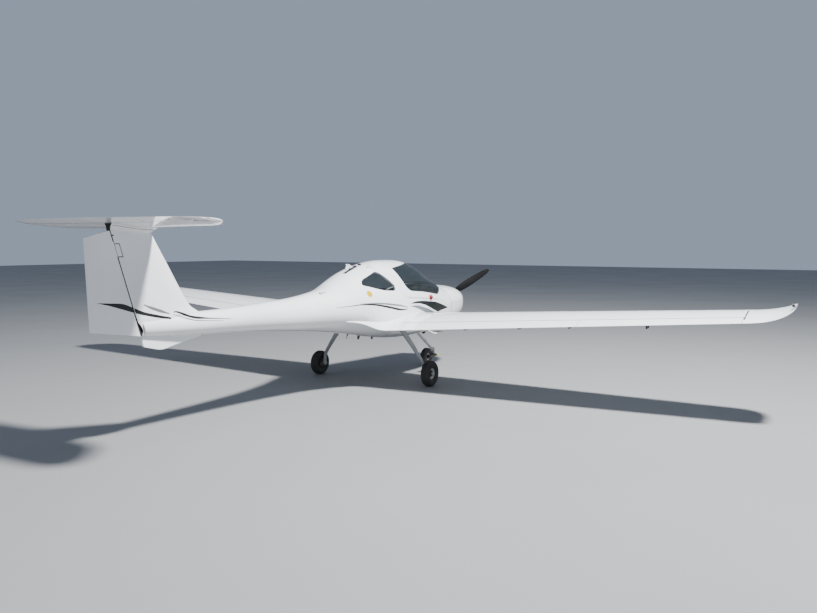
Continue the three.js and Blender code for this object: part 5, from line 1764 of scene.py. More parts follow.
def stabiliser_body():
    """The fixed part of the tailplane, ahead of the elevator, and its cove, painted black as the shade in the
    gap
    """
    made, shaded_cove = Piece(), Piece()
    left = np.concatenate([np.linspace(0, 1000, 6)[1:], TIP_STATIONS[1:]])
    turn = np.linspace(math.pi / 2, 1.5 * math.pi, 12)
    lip = ELEVATOR_HINGE_Y - 5
    sections, coves = [], []
    for x in np.concatenate([-left[::-1], [0], left]):
        y = eased(float(stabiliser_values(x)[0][0]), lip, 30)
        half = stabiliser_half(x, y)
        sections.append(np.vstack([on_tailplane(x, y, half)[::-1], on_tailplane(x, y, -half)[1:]]))
        coves.append(on_tailplane(x, lip + np.cos(turn) * half[-1], np.sin(turn) * half[-1]))
    made.grid(sections)
    # The cove is black: painted shade in the elevator's gap
    shaded_cove.grid(coves, out=AFT)
    for k, toward in ((0, -1), (-1, 1)):
        made.fill(sections[k], (toward, 0, 0))
    lean = turn_about("X", STABILISER_SET)
    y, z = ELEVATOR_HINGE_Y, STABILISER_Z
    for x in (side * place for place in ELEVATOR_HINGES for side in (-1, 1)):
        made.join(block((HINGE_ARM, 52, 14), (x, y - 20, z - 1.5), lean, 1.5))
        made.join(bar((x - 12, y, z), (x + 12, y, z), HINGE_PIN, sides=14))
    return made, shaded_cove


def elevator_body():
    """The elevator, with room for its brackets"""
    made = Piece()
    tip = TIP_STATIONS[-1]
    hinges = sorted(side * place for place in ELEVATOR_HINGES for side in (-1, 1))
    for start, end, notched in notched_runs(-tip, tip, hinges):
        inner = [side * x for x in TIP_STATIONS[:-1] for side in (-1, 1) if start < side * x < end]
        rows = [elevator_section(x, notched) for x in sorted({start, *inner, end, (start + end) / 2})]
        made.grid(rows)
        made.grid([(row[0], row[-1]) for row in rows], out=AFT)
        if not notched:
            made.fill(rows[0], (-1, 0, 0))
            made.fill(rows[-1], LEFT)
    return made


def elevator_section(x, notched):
    """Top from the trailing edge forward, round the nose and back below"""
    trailing = float(stabiliser_values(x)[1][0])
    y = np.linspace(trailing, ELEVATOR_HINGE_Y + (20 if notched else 0), 14)
    half = stabiliser_half(x, y)
    top, under = on_tailplane(x, y, half), on_tailplane(x, y, -half)[::-1]
    if notched:
        return np.vstack([top, under])
    turn = np.linspace(math.pi / 2, 1.5 * math.pi, 14)[1:-1]
    radius = half[-1]
    nose = on_tailplane(x, ELEVATOR_HINGE_Y + np.cos(turn) * max(radius - 2, 1), np.sin(turn) * radius)
    return np.vstack([top, nose, under])


def ventral_body():
    """A thin keel under the tail with a rounded lower edge"""
    made = Piece()
    loop = resampled(rounded([(y, z, 30 if z < 950 else 0) for y, z in VENTRAL_LINE], True, 6), 16, True)
    inwards = unit(loop.mean(axis=0) - loop)
    rows = []
    for t in np.linspace(-1, 1, 11):
        rim = loop + inwards * 9 * (1 - math.sqrt(max(0, 1 - t**2)))
        rows.append(spots(t * VENTRAL_THICK / 2, *rim.T))
    made.grid(rows, around=True)
    made.fill(rows[0], (-1, 0, 0))
    made.fill(rows[-1], LEFT)
    return made


# Tail stripes on the fin's plane: y, z
SPEAR_TOP = [(2647, 1210), (2822, 1250), (2972, 1289), (3083, 1334), (3199, 1379), (3351, 1394), (3476, 1403)]
SPEAR_UNDER = [
    (2648, 1190), (2823, 1221), (2972, 1255), (3085, 1288), (3209, 1328), (3352, 1372), (3476, 1403),
]
TAIL_ECHO = [(2656, 1246), (2776, 1284), (2893, 1326), (2976, 1362)]
TAIL_ECHO_WIDTHS = (8, 30, 28, 8)
TAIL_CURL = [(1873, 1136), (2233, 1172), (2391, 1196), (2520, 1244), (2579, 1262), (2621, 1258)]
TAIL_CURL_WIDTHS = (4, 7, 11, 26, 28, 9)
TAIL_UNDER_CURL = [(1984, 1126), (2346, 1157), (2484, 1191), (2555, 1222), (2628, 1236)]
TAIL_UNDER_CURL_WIDTHS = (3, 6, 9, 13, 5)
PAINT_LIFT = 0.9


def tail_side(y, z):
    """Distance from the middle to the outside of the fin or the fuselage, at side-view points"""
    fin = fin_half(y, z) + FIN_ROOT_FLARE * np.maximum(0, 1 - np.maximum(0, np.ravel(z) - 1222) / 70) ** 2
    y = np.minimum(y, TAIL_END_Y)
    body = np.where(np.ravel(z) > station(y)[3], 0, hull(y, side_angle(y, z))[:, 0])
    return np.maximum(fin, body)


def crossing_y(path):
    """Where a side-view path crosses the rudder's hinge line"""
    ahead = path[:, 0] - rudder_axis(path[:, 1])
    return float(path[np.argmin(np.abs(ahead)), 0])


def tail_band(piece, top, under, side, from_y, to_y, on_rudder):
    """Paint between two side-view paths on the fin or the rudder; a missing end is the rudder's gap"""
    top, under = bent(top, 90), bent(under, 90)
    rows = []
    for t in np.linspace(0, 1, 5):
        path = top + (under - top) * t
        start = crossing_y(path) - 3 if from_y is None else from_y
        end = crossing_y(path) - RUDDER_GAP - 0.5 if to_y is None else to_y
        path = path[(path[:, 0] >= start) & (path[:, 0] <= end)]
        at = np.linspace(start, min(end, path[:, 0].max()), 40)
        z = np.interp(at, path[:, 0], path[:, 1])
        x = (fin_half(at, z) if on_rudder else tail_side(at, z)) + PAINT_LIFT
        rows.append(spots(side * x, at, z))
    piece.grid(rows, out=(side, 0, 0))


def widened(points, widths):
    """The two edges of a painted line of changing width"""
    line = bent(points)
    across = (offset_path(line, 1) - line) * stretched(widths, len(line))[:, None] / 2
    return line + across, line - across


def tail_stripes():
    fixed, grey, moving = Piece(), Piece(), Piece()
    for side in (1, -1):
        tail_band(fixed, SPEAR_TOP, SPEAR_UNDER, side, 2652, None, False)
        tail_band(moving, SPEAR_TOP, SPEAR_UNDER, side, None, 3474, True)
        tail_band(grey, *widened(TAIL_ECHO, TAIL_ECHO_WIDTHS), side, 2662, 2970, False)
        tail_band(fixed, *widened(TAIL_CURL, TAIL_CURL_WIDTHS), side, 1880, 2616, False)
        tail_band(grey, *widened(TAIL_UNDER_CURL, TAIL_UNDER_CURL_WIDTHS), side, 1990, 2624, False)
    fixed.place("tail_stripes_black", "dark_trim", STRIPE_BLACK)
    grey.place("tail_stripes_grey", "dark_trim", STRIPE_GREY)
    moving.place("rudder_stripes_black", "dark_trim", STRIPE_BLACK, body="rudder")


# Landing gear

def main_leg():
    made = Piece()
    shares = np.linspace(0, 1, len(MAIN_LEG))
    rows = smooth(np.column_stack([shares, MAIN_LEG]), np.linspace(0.04, 1, 30))[:, 1:]
    turn = full_turn(28)[:, None]
    loops = []
    for (x, y, z, chord, thick), direction in zip(rows, unit(tangents(rows[:, :3], 0, False))):
        across = unit(np.array([-direction[2], 0, direction[0]]))
        loops.append((x, y, z) + np.cos(turn) * [0, chord / 2, 0] + np.sin(turn) * across * thick / 2)
    made.grid(loops, around=True)
    made.fill(loops[-1], DOWN)
    y, z = MAIN_WHEEL["y"], MAIN_WHEEL["radius"]
    made.join(bar((838, y, z), (872, y, z), 30, sides=32, bevel=2))
    made.join(bar((860, y, z), (MAIN_WHEEL["x"] + 50, y, z), AXLE - 0.5))
    return made


def brake_hose():
    """The brake line down the back of a main leg"""
    path = [(x + 4, y + chord * 0.47, z) for x, y, z, chord, _ in MAIN_LEG[:5]]
    return pipe(bent(path + [(862, -1030, 232), (868, -1022, 212)], 40), 3.2, 8)


def brake_body():
    x, y, z = BRAKE["x"], MAIN_WHEEL["y"] + BRAKE["behind"] + 8, MAIN_WHEEL["radius"]
    made = block((BRAKE["thick"] - 1, BRAKE["long"] - 22, BRAKE["tall"] - 4), (x, y, z), bevel=5)
    for rise in (-20, 20):
        made.join(bar((x - 8.8, y, z + rise), (x + 8.8, y, z + rise), 9, sides=18))
    return made


def tyre(size):
    """A tyre with four grooves round its tread, about its own axle along X"""
    radius, half, rim = size["radius"], size["width"] / 2, size["rim"]
    wall = rim + (radius - rim) * 0.45
    # Radius and share of the half width, from the bead up the side wall
    side = [
        (rim + 0.5, 0.60), (rim + 6, 0.70), (rim + 14, 0.83),
        (wall - 14, 0.95), (wall, 0.99), (wall + 14, 0.99),
        (radius - 28, 0.93), (radius - 15, 0.80), (radius - 6, 0.60),
    ]
    for groove in (0.42, 0.15):
        side += [
            (radius - 2.4 * groove - 0.6, groove + 0.05), (radius - 8, groove + 0.035),
            (radius - 8, groove - 0.035), (radius - 2.0 * groove - 0.6, groove - 0.05),
        ]
    profile = [(r, half * share) for r, share in side]
    profile += [(r, -h) for r, h in profile[::-1]]
    return lathe([*profile, profile[0]], direction=LEFT, sides=64, crease=40)


def wheel_rim(size, disc):
    """A bright lip and hub cap, and a dark dished web with bolts and a brake disc"""
    radius, half = size["rim"], size["width"] * 0.31
    flange = [(radius - 16, -9), (radius - 11, -half + 2), (radius - 3, -half), (radius, -half + 2)]
    lip = lathe([*flange, *((r, -h) for r, h in flange[::-1]), flange[0]], direction=LEFT, sides=64)
    cap = [(0, -6), (15, -6), (17, -2), (15, 8), (10, 13), (0, 14)]
    lip.join(lathe([(r, half + h) for r, h in cap], direction=LEFT))
    dish = [
        (AXLE, -half), (30, -half), (34, -12), (radius - 15, -9), (radius - 15, 9), (34, 12), (30, half - 4),
        (AXLE, half - 2), (AXLE, -half),
    ]
    web = lathe(dish, direction=LEFT, sides=64)
    bolt = [(0, 9), (4, 9), (5, 10), (5, 14), (4, 15), (0, 15)]
    for turn in full_turn(6):
        at = np.array([0, math.cos(turn), math.sin(turn)]) * (radius - 22)
        lip.join(lathe(bolt, at, LEFT, 6, 20))
    if disc:
        at = -size["width"] * 0.47
        plate_form = [
            (AXLE, at), (BRAKE_DISC, at), (BRAKE_DISC, at + 5), (30, at + 5), (30, -half), (AXLE, -half),
        ]
        web.join(lathe(plate_form, direction=LEFT, sides=64))
    return lip, web


def nose_leg():
    """The sloping tube, its pivot post with a nut, and a clamp halfway down"""
    y, low, high, radius = (NOSE_PIVOT[k] for k in ("y", "low", "high", "radius"))
    top, slope = np.array(NOSE_LEG_TOP), np.array(NOSE_LEG_FOOT) - NOSE_LEG_TOP
    path = [top + slope * t for t in np.linspace(0, 0.93, 12)]
    made = pipe(bent(path + [(0, -2850, 231), (0, -2866, 226)], 36), NOSE_TUBE, 28)
    tall = high - low
    post = [(0, 0), (radius - 2, 0), (radius, 2), (radius, tall - 12), (radius - 5, tall - 1), (0, tall)]
    made.join(lathe(post, (0, y, low + 0.4), sides=36))
    nut = [(0, 0), (13, 0), (14, 2), (14, 8), (12, 9), (0, 9)]
    made.join(lathe(nut, (0, y, high), sides=6, crease=20))
    clamp = [(0, 0), (23, 0), (24, 1), (24, 21), (23, 22), (0, 22)]
    made.join(lathe(clamp, top + slope * 0.55, slope, 28))
    return made


# Side outline of the fork's arm about the nose wheel's axle: y, z
FORK_ARM = [(-30, 27), (4, 25), (22, 12), (25, 0), (20, -14), (4, -24), (-16, -24)]
FORK_NUT = [(0, 0), (15, 0), (16, 1), (16, 8), (12, 10), (0, 10)]


def nose_fork():
    """The castoring crown with two arms, the axle and its nuts"""
    y, low, radius = NOSE_PIVOT["y"], NOSE_PIVOT["low"], NOSE_PIVOT["radius"]
    arm = NOSE_WHEEL["width"] / 2 + 14
    wheel_y, wheel_z = NOSE_WHEEL["y"], NOSE_WHEEL["radius"]
    crown = [(0, 0), (radius - 3, 0), (radius, 3), (radius, 33), (0, 33)]
    made = lathe(crown, (0, y, low - 34), sides=36)
    made.join(block((2 * arm + 10, 30, 32), (0, y + 14, low - 17), bevel=7))
    outline = [(y, low - 31), (y, low - 3), *shifted(FORK_ARM, wheel_y, wheel_z)]
    outline = rounded([(*p, 10) for p in outline], True, 4)
    for side in (-1, 1):
        made.join(plate(outline, 11, side * arm, 2.5))
        made.join(lathe(FORK_NUT, (side * (arm + 5), wheel_y, wheel_z), (side, 0, 0), 6, 20))
        made.join(bar((side * (arm - 6), y + 6, low - 17), (side * (arm + 8), y + 6, low - 17), 7, sides=12))
    made.join(bar((-arm, wheel_y, wheel_z), (arm, wheel_y, wheel_z), AXLE - 0.5))
    return made


TOW_LUG = [(0, 0), (19, 0), (21, 2), (21, 12), (18, 15), (0, 15)]


def tow_fitting():
    """Coloured lugs on the fork's crown for the tow bar"""
    made = Piece()
    y, z = NOSE_PIVOT["y"] + 12, NOSE_PIVOT["low"] - 17
    for side in (-1, 1):
        made.join(bar((side * 72, y, z), (side * 92, y, z), 10, sides=18))
        made.join(lathe(TOW_LUG, (side * 90, y, z), (side, 0, 0), 24))
    return made


SILENCER_FORM = [(0, 0), (30, 0), (40, 8), (42, 20), (42, 210), (40, 222), (30, 230), (0, 230)]
SILENCER_CLAMP = [(41, 0), (44.5, 1), (44.5, 13), (41, 14), (41, 0)]
SILENCER_RUN = (0, 1, -0.03)


def silencer():
    """The exhaust's drum under the cowling, with its clamps"""
    made = lathe(SILENCER_FORM, (0, -2795, 607), SILENCER_RUN, 36)
    for y in (-2740, -2640):
        made.join(lathe(SILENCER_CLAMP, (0, y, 605), SILENCER_RUN, 36))
        made.join(bar((46, y + 7, 612), (46, y + 7, 632), 4, sides=12))
    return made


def boarding_step():
    """The step's bent tube with its plate, and the black ribbed pad"""
    x, y, step = (STEP_TREAD[k] for k in ("x", "y", "rib_step"))
    strut = pipe(bent(STEP_STRUT, 40), 9.5, 16)
    strut.join(block((94, 112, 3.5), (x, y, STEP_TREAD["base"]), bevel=1.2))
    pad_piece = block((98, 118, 3.4), (x, y, STEP_TREAD["pad"]), bevel=1.4)
    for k in range(7):
        pad_piece.join(block((90, 3.4, 1.4), (x, y + step * (k - 3), STEP_TREAD["ribs"]), bevel=0.5))
    return strut, pad_piece


EXHAUST_RUN = [(0, -2595, 700), (0, -2595, 610), (0, -2590, 588), (0, -2572, 573), (0, -2533, 543)]
EXHAUST_LIP = [(27.5, 0), (28, 3), (27, 4), (24.5, 3), (24.5, -30), (27.5, 0)]


def exhaust_pipe():
    path = bent(EXHAUST_RUN, 30)
    made = pipe(path[:-1], 27.5, 28)
    direction = unit(path[-1] - path[-2])
    made.join(lathe(EXHAUST_LIP, path[-1] - direction * 4, direction, 28))
    return made


def spinner_body():
    """The spinner's shell with a ring of screws round its base"""
    base, radius = SPINNER["base"], SPINNER["radius"]
    long = base - SPINNER["tip"]
    profile = [(0, 0), (radius - 1.5, 0), (radius, 1.5), (radius, 12)]
    for t in (1 - np.cos(np.linspace(0, np.pi / 2, 22)))[1:]:
        profile.append((radius * math.sqrt(max(0, 1 - t**1.8)), 12 + (long - 12) * t))
    profile[-1] = (0, long)
    made = lathe(profile, (0, base, HUB["z"]), AHEAD, 72)
    for turn in full_turn(10) + math.pi / 10:
        out = np.array([math.cos(turn), 0, math.sin(turn)])
        screw = [(0, 0), (4.4, 0), (4.0, 1.6), (0, 2.0)]
        made.join(lathe(screw, (0, base - 9, HUB["z"]) + out * (radius - 1.6), out, 12))
    return made


def blade_section(r, wide, thick, pitch):
    """A loop round the blade at a radius: oval at the root, then an airfoil"""
    slim = np.clip((r - 90) / 120, 0, 1)
    ends = (-wide * 0.45, 0), (wide * 0.55, 0)
    foil = airfoil_loop(0, *ends, thick / 2, 0.02 * slim, cosine_chord(18))[:, 1:]
    turn = np.linspace(0, 2 * np.pi, len(foil))
    oval = np.stack([wide / 2 * np.cos(turn), thick / 2 * np.sin(turn)], axis=1)
    across, deep = (oval * (1 - slim) + foil * slim).T
    angle = math.radians(pitch)
    return spots(across * math.cos(angle) - deep * math.sin(angle),
                 across * math.sin(angle) + deep * math.cos(angle), r)


def propeller_body():
    """Two blades on a hub, and the shaft behind it"""
    made, blade = Piece(), Piece()
    rows = smooth(BLADE, np.concatenate([np.linspace(40, 700, 30), np.linspace(712, 874, 18)]))
    loops = np.array([blade_section(*row) for row in rows])
    blade.grid(loops)
    edges = loops[:, [0, -1]]
    blade.grid(edges, out=edges - loops.mean(axis=1, keepdims=True))
    blade.fill(loops[-1], UP)
    y, z = HUB["y"], HUB["z"]
    for turn in (-BLADE_ANGLE, 180 - BLADE_ANGLE):
        made.join(blade.moved(turn_about("Y", turn), (0, y, z)))
    made.join(bar((0, y - 30, z), (0, y + 30, z), 57, sides=32, bevel=3))
    made.join(bar((0, y, z), (0, HUB["shaft_end"], z), 33, sides=28))
    return made


# Cabin fittings

def pad(size, at, turn, crown=0.35):
    """A stuffed cushion: crowned faces, sides that pull in between corners, sewn channels and piping"""
    made = Piece()
    count = 30
    wide, tall, thick = size
    u = np.linspace(-1, 1, count)
    a, b = np.meshgrid(u, u, indexing="ij")
    edge = (1 - np.abs(a) ** 3.2) * (1 - np.abs(b) ** 3.2)
    x = a * wide / 2 * (1 - CUSHION_PULL * (1 - b**2))
    y = b * tall / 2 * (1 - CUSHION_PULL * (1 - a**2))
    height = thick / 2 * (edge ** crown)
    for channel in CUSHION_CHANNELS:
        height = height - 0.16 * thick * np.exp(-(((a - channel) / 0.035) ** 2)) * (edge > 0.02)
    made.grid(spots(x, y, height), out=UP)
    made.grid(spots(x, y, -thick / 2 * edge ** (crown * 0.6)), out=DOWN)
    flat = spots(x, y, 0)
    rim = np.vstack([flat[:-1, 0], flat[-1, :-1], flat[:0:-1, -1], flat[0, :0:-1]])
    made.join(pipe(rim, 2.6, 6, closed=True))
    return made.moved(turn, at)


def seat_pieces(side, name):
    """A seat's shell, its two cushions and its belts"""
    middle = side * SEAT_X
    shell = plate(SEAT_OUTLINE, SEAT_WIDTH - 36, middle, 6)
    shell.place(f"seat_shell_{name}", "seat_cloth", BLACK_TRIM, [f"seat_{name}"])
    for part, narrow, long, thick, y, z, lean in SEAT_PADS:
        stuffed = pad((SEAT_WIDTH - narrow, long, thick), (middle, y, z), turn_about("X", lean))
        cushion = stuffed.place(f"seat_{part}_{name}", "seat_cloth", SEAT_CLOTH)
    belts = Piece()
    for offset in (-SHOULDER_SPREAD, SHOULDER_SPREAD):
        path = bent([(middle + offset * share, y, z) for share, y, z in SHOULDER_BELT], 36)
        belts.join(ribbon(path, np.tile((BELT_HALF, 0, 0), (36, 1))))
    lap = bent([(middle + x, y, z) for x, y, z in LAP_BELT], 30)
    belts.join(ribbon(lap, np.tile((0, BELT_HALF, 4.0), (30, 1))))
    belts.join(block((46, 52, 9), (middle, *BUCKLE), bevel=3))
    belts.place(f"seat_belts_{name}", "seat_cloth", WEBBING)


# The panel's rear face: y and z at its top, how far it leans over its height, the dials' distance
PANEL_FACE = {"y": -2120, "z": 1180, "lean": 30, "tall": 220, "clear": 4}
# Dials: x, z, radius
DIALS = [(x, z, 40) for x in (-330, -235, -140) for z in (1108, 1012)]
DIALS += [(x, 1108, 30) for x in (150, 220, 290, 360)]


def panel_fittings():
    """Plain dials, a radio stack and switches on the panel's rear face"""
    bezels, marks = Piece(), Piece()
    top_y, top_z, depth, tall, clear = (PANEL_FACE[k] for k in ("y", "z", "lean", "tall", "clear"))
    lean = math.atan2(depth, tall)
    away = np.array([0, math.cos(lean), -math.sin(lean)])
    turn = frame_along(away)

    def face(x, z):
        return np.array([x, top_y + (top_z - z) * depth / tall + clear, z])

    for x, z, radius in DIALS:
        inner = radius - 5
        ring = [(inner, 0), (radius, 0), (radius, 5), (radius - 3, 7), (inner, 4), (inner, 0)]
        bezels.join(lathe(ring, face(x, z), away, 36))
        bezels.join(lathe([(0, 0), (inner, 0), (inner, 2), (0, 2)], face(x, z), away, 36))
        for angle in full_turn(12):
            local = (math.cos(angle) * (radius - 11), math.sin(angle) * (radius - 11), 2.4)
            mark_turn = turn @ turn_about("Z", math.degrees(angle))
            marks.join(block((6, 1.6, 0.8), face(x, z) + turn @ local, mark_turn, 0.2))
        hand_at = face(x, z) + turn @ (3, 2, 3.0)
        marks.join(block((radius * 0.9, 2.2, 0.8), hand_at, turn @ turn_about("Z", 50), 0.2))
    for k in range(4):
        bezels.join(block((160, 42, 8), face(10, 1140 - 48 * k), turn, 3))
        marks.join(block((64, 14, 1), face(-8, 1140 - 48 * k) + away * 4.2, turn, 0.3))
    for k in range(8):
        bezels.join(block((8, 14, 12), face(170 + 26 * k, 1030), turn, 2))
    bezels.place("panel_bezels", "dark_trim", BLACK_TRIM)
    marks.place("panel_marks", "dark_trim", DIAL_WHITE)


# Rings under the wings: x, y, radius of ring and wire, drop below the skin
TIE_DOWN = {"x": 4100, "y": -1230, "radius": 17, "wire": 3.4, "drop": 10}
# Roof vent: x, front y, length, base z, fall to its mouth, widest half width, height
VENT = {"x": -112, "y": 130, "long": 160, "z": 1334, "fall": 26, "half": 36, "tall": 30}


def tie_down_rings():
    x, y, radius = (TIE_DOWN[k] for k in ("x", "y", "radius"))
    z = float(wing_skin(x, y, -1)) - TIE_DOWN["drop"]
    turn = full_turn(28)
    circle = spots(x, y + radius * np.cos(turn), z + radius * np.sin(turn))
    rings = pipe(circle, TIE_DOWN["wire"], 10, closed=True)
    rings.join(rings.mirrored())
    rings.place("tie_down_rings", "sheet_steel", STEEL)


def roof_vent():
    """A small scoop behind the cabin, open aft"""
    vent, mouth = Piece(), Piece()
    x, y, long, z, fall, half, tall = VENT.values()
    angle = np.linspace(0, math.pi, 14)
    rows = []
    for t in np.linspace(0.02, 1, 16):
        wide = half * math.sqrt(t) * (1.25 - 0.25 * t) * (1 - max(0, t - 0.8) * 1.2)
        high = tall * math.sqrt(t) * (1.3 - 0.4 * t)
        rows.append(spots(x + wide * np.cos(angle), y + long * t, z - fall * t + high * np.sin(angle)))
    vent.grid(rows, out=UP)
    vent.place("roof_vent", "skin", LEG_PAINT)
    # The mouth is closed by a black face: painted shade inside the scoop
    mouth.fill(rows[-1], AFT)
    mouth.place("roof_vent_mouth_shade", "dark_trim", SHADOW)


WHIP_BASE = [(0, 0), (15, 0), (16, 2), (9, 14), (6, 16), (0, 16)]
WHIP_RUN = [(0, -467, 715), (0, -458, 695), (0, -440, 668)]
# Blades under the belly: y, how far they hang down
BELLY_BLADES = ((-731, 46), (-1068, 26))


def antennas():
    """The bent whip and the two blades under the belly"""
    whip, blades = lathe(WHIP_BASE, (0, -467, 720), (0, 0.25, -0.97), 24), Piece()
    whip.join(pipe(bent(WHIP_RUN, 14), 4.6, 12))
    whip.place("belly_whip", "dark_trim", BLACK_TRIM, ["belly_antenna"])
    for y, deep in BELLY_BLADES:
        bottom = float(station(y)[1][0])
        low = bottom - deep
        outline = [(y - 34, bottom + 6), (y - 8, low), (y + 22, low), (y + 30, bottom + 6)]
        blades.join(plate(rounded([(*p, 6) for p in outline], True, 4), 9, 0, 2))
    blades.place("belly_blades", "dark_trim", BLACK_TRIM)


PITOT = {"x": 2600, "y": -1400, "drop": 85}
PITOT_TUBE = [(0, 0), (7, 0), (8, 2), (8, 120), (5, 150), (3, 152), (3, 120), (0, 120)]


def pitot():
    """The mast under the left wing with its open tube"""
    x, y, drop = PITOT.values()
    z = float(wing_skin(x, y, -1))
    made = plate([(y - 25, z + 4), (y - 18, z - drop), (y + 18, z - drop), (y + 25, z + 4)], 8, x, 2)
    made.join(lathe(PITOT_TUBE, (x, y + 25, z - drop), AHEAD, 24))
    made.place("pitot_mast", "skin", GELCOAT, ["pitot_tube"])


CYLINDER = {"x": 172, "front": -3190, "step": 9, "z": 1040}


def engine_view():
    """Cooling fins of the two front cylinders, seen through the inlets"""
    made = Piece()
    front, step, z = (CYLINDER[k] for k in ("front", "step", "z"))
    for x in (-CYLINDER["x"], CYLINDER["x"]):
        for k in range(9):
            made.join(block((110 - 4 * (k % 2), 3, 92), (x, front + step * k, z), bevel=1))
        made.join(bar((x, front - 6, z), (x, front + 80, z), 36))
    made.place("cylinder_fins", "engine_metal", STEEL)


PEDAL = {"y": -2330, "z": 790, "spread": 80}


def rudder_pedals():
    made = Piece()
    y, z, spread = PEDAL.values()
    for seat, side in itertools.product((-SEAT_X, SEAT_X), (-spread, spread)):
        x = seat + side
        made.join(block((70, 12, 92), (x, y, z), turn_about("X", -18), 4))
        made.join(bar((x, y, z - 45), (x, y - 20, z - 118), 8, sides=14))
    made.place("rudder_pedals", "dark_trim", STEEL)


# Building the aircraft

def build_fuselage():
    fuselage_skin().place("fuselage_skin", "skin", GELCOAT, ["fuselage"])
    face, slot = tail_end_face()
    face.place("tail_end_face", "skin", GELCOAT)
    # Black patch: painted shade in the slot ahead of the rudder
    slot.place("tail_end_slot_shade", "dark_trim", SHADOW)
    airframe_canopy_hinges().place("canopy_hinge_blocks", "skin", GELCOAT)
    roof_fittings(ROOF_FITTINGS).place("roof_fittings", "dark_trim", BLACK_TRIM)
    roof_fittings(CANOPY_FITTING).place("canopy_fitting", "dark_trim", BLACK_TRIM, body="canopy")
    cabin_lining().place("cabin_lining", "dark_trim", LINING)
    cowl_half(True).place("cowl_upper_skin", "skin", GELCOAT, ["cowl_upper"])
    cowl_half(False).place("cowl_lower_skin", "skin", GELCOAT, ["cowl_lower"])
    for side, name in ((1, "left"), (-1, "right")):
        loop = on_side(REAR_WINDOW_LINE, side, grow=0.5)
        glass_pane(f"rear_pane_{name}", "airframe", loop, f"rear_window_{name}")
        seal = Piece()
        seal_band(seal, loop, 6)
        seal.place(f"rear_seal_{name}", "dark_trim", BLACK_TRIM)
    canopy_pieces()
    seam = Piece()
    for side in (1, -1):
        seam_line(seam, bent(INNER_SEAM), [INNER_SEAM_WIDTH], side)
    seam.place("canopy_inner_seam", "dark_trim", SHADOW, body="canopy")
    side_stripes()
    side_dots()
    cowl_screws()


def build_pair(piece, name, slot, material, nodes=(), bodies=("airframe", "airframe")):
    """The left piece and its mirror image"""
    for made, side, body in ((piece, "left", bodies[0]), (piece.mirrored(), "right", bodies[1])):
        made.place(f"{name}_{side}", slot, material, [f"{node}_{side}" for node in nodes], body)


def build_wings():
    build_pair(wing_panel(), "wing_skin", "skin", GELCOAT, ["wing"])
    dark, white = wing_brackets()
    build_pair(dark, "wing_brackets", "dark_trim", WEB_GREY)
    build_pair(white, "wing_brackets_white", "skin", GELCOAT)
    # Black line: painted shade in the gap at the aileron's outer end
    build_pair(tip_gap_shade_line(), "wing_tip_gap_shade", "dark_trim", SHADOW)
    strobe, seat = tip_strobe()
    build_pair(strobe, "tip_strobe", "window", LAMP_CLEAR)
    build_pair(seat, "tip_strobe_seat", "dark_trim", BLACK_TRIM)
    build_pair(wing_tip(), "wing_tip_skin", "skin", GELCOAT, ["wing_tip"])
    for surface, name in ((FLAP, "flap"), (AILERON, "aileron")):
        bodies = (f"{name}_left", f"{name}_right")
        build_pair(control_surface(surface), f"{name}_skin", "skin", GELCOAT, [name], bodies)
    tip_lamp(1, LAMP_RED)
    tip_lamp(-1, LAMP_GREEN)
    pitot()


def build_tail():
    fin, gap = fin_body()
    fin.place("fin_skin", "skin", GELCOAT, ["fin"])
    cover, joint = rudder_hinge_cover()
    cover.place("rudder_hinge_cover", "skin", GELCOAT)
    # The cove and the strips round the hinge cover make one black piece: painted shade in the rudder's gap
    gap.join(joint)
    gap.place("rudder_gap_shade", "dark_trim", SHADOW)
    ventral_body().place("ventral_skin", "skin", GELCOAT, ["ventral_fin"])
    rudder, front = rudder_body()
    rudder.place("rudder_skin", "skin", GELCOAT, ["rudder"], "rudder")
    # Black nose: painted shade in the rudder's gap
    front.place("rudder_nose_shade", "dark_trim", SHADOW, body="rudder")
    stabiliser, shaded_cove = stabiliser_body()
    stabiliser.place("stabiliser_skin", "skin", GELCOAT, ["stabiliser"])
    # Black cove ahead of the elevator: painted shade
    shaded_cove.place("elevator_gap_shade", "dark_trim", SHADOW)
    elevator_body().place("elevator_skin", "skin", GELCOAT, ["elevator"], "elevator")
    tail_stripes()


def build_wheel(name, size, side, disc):
    """The tyre, lip and web of one wheel on its own body"""
    lip, web = wheel_rim(size, disc)
    at = np.array([side * size["x"], size["y"], size["radius"]])
    body = "nose_wheel" if name == "nose" else f"wheel_{name}"
    for piece, slot, label, material, nodes in (
        (tyre(size), "tyre_rubber", "tyre_rubber", RUBBER, [f"tyre_{name}"]),
        (lip, "wheel_alloy", "wheel_lip", ALLOY, [f"rim_{name}"]),
        (web, "wheel_alloy", "wheel_web", WEB_GREY, []),
    ):
        made = piece if side > 0 else piece.mirrored()
        made.moved(UPRIGHT, at).place(f"{label}_{name}", slot, material, nodes, body)


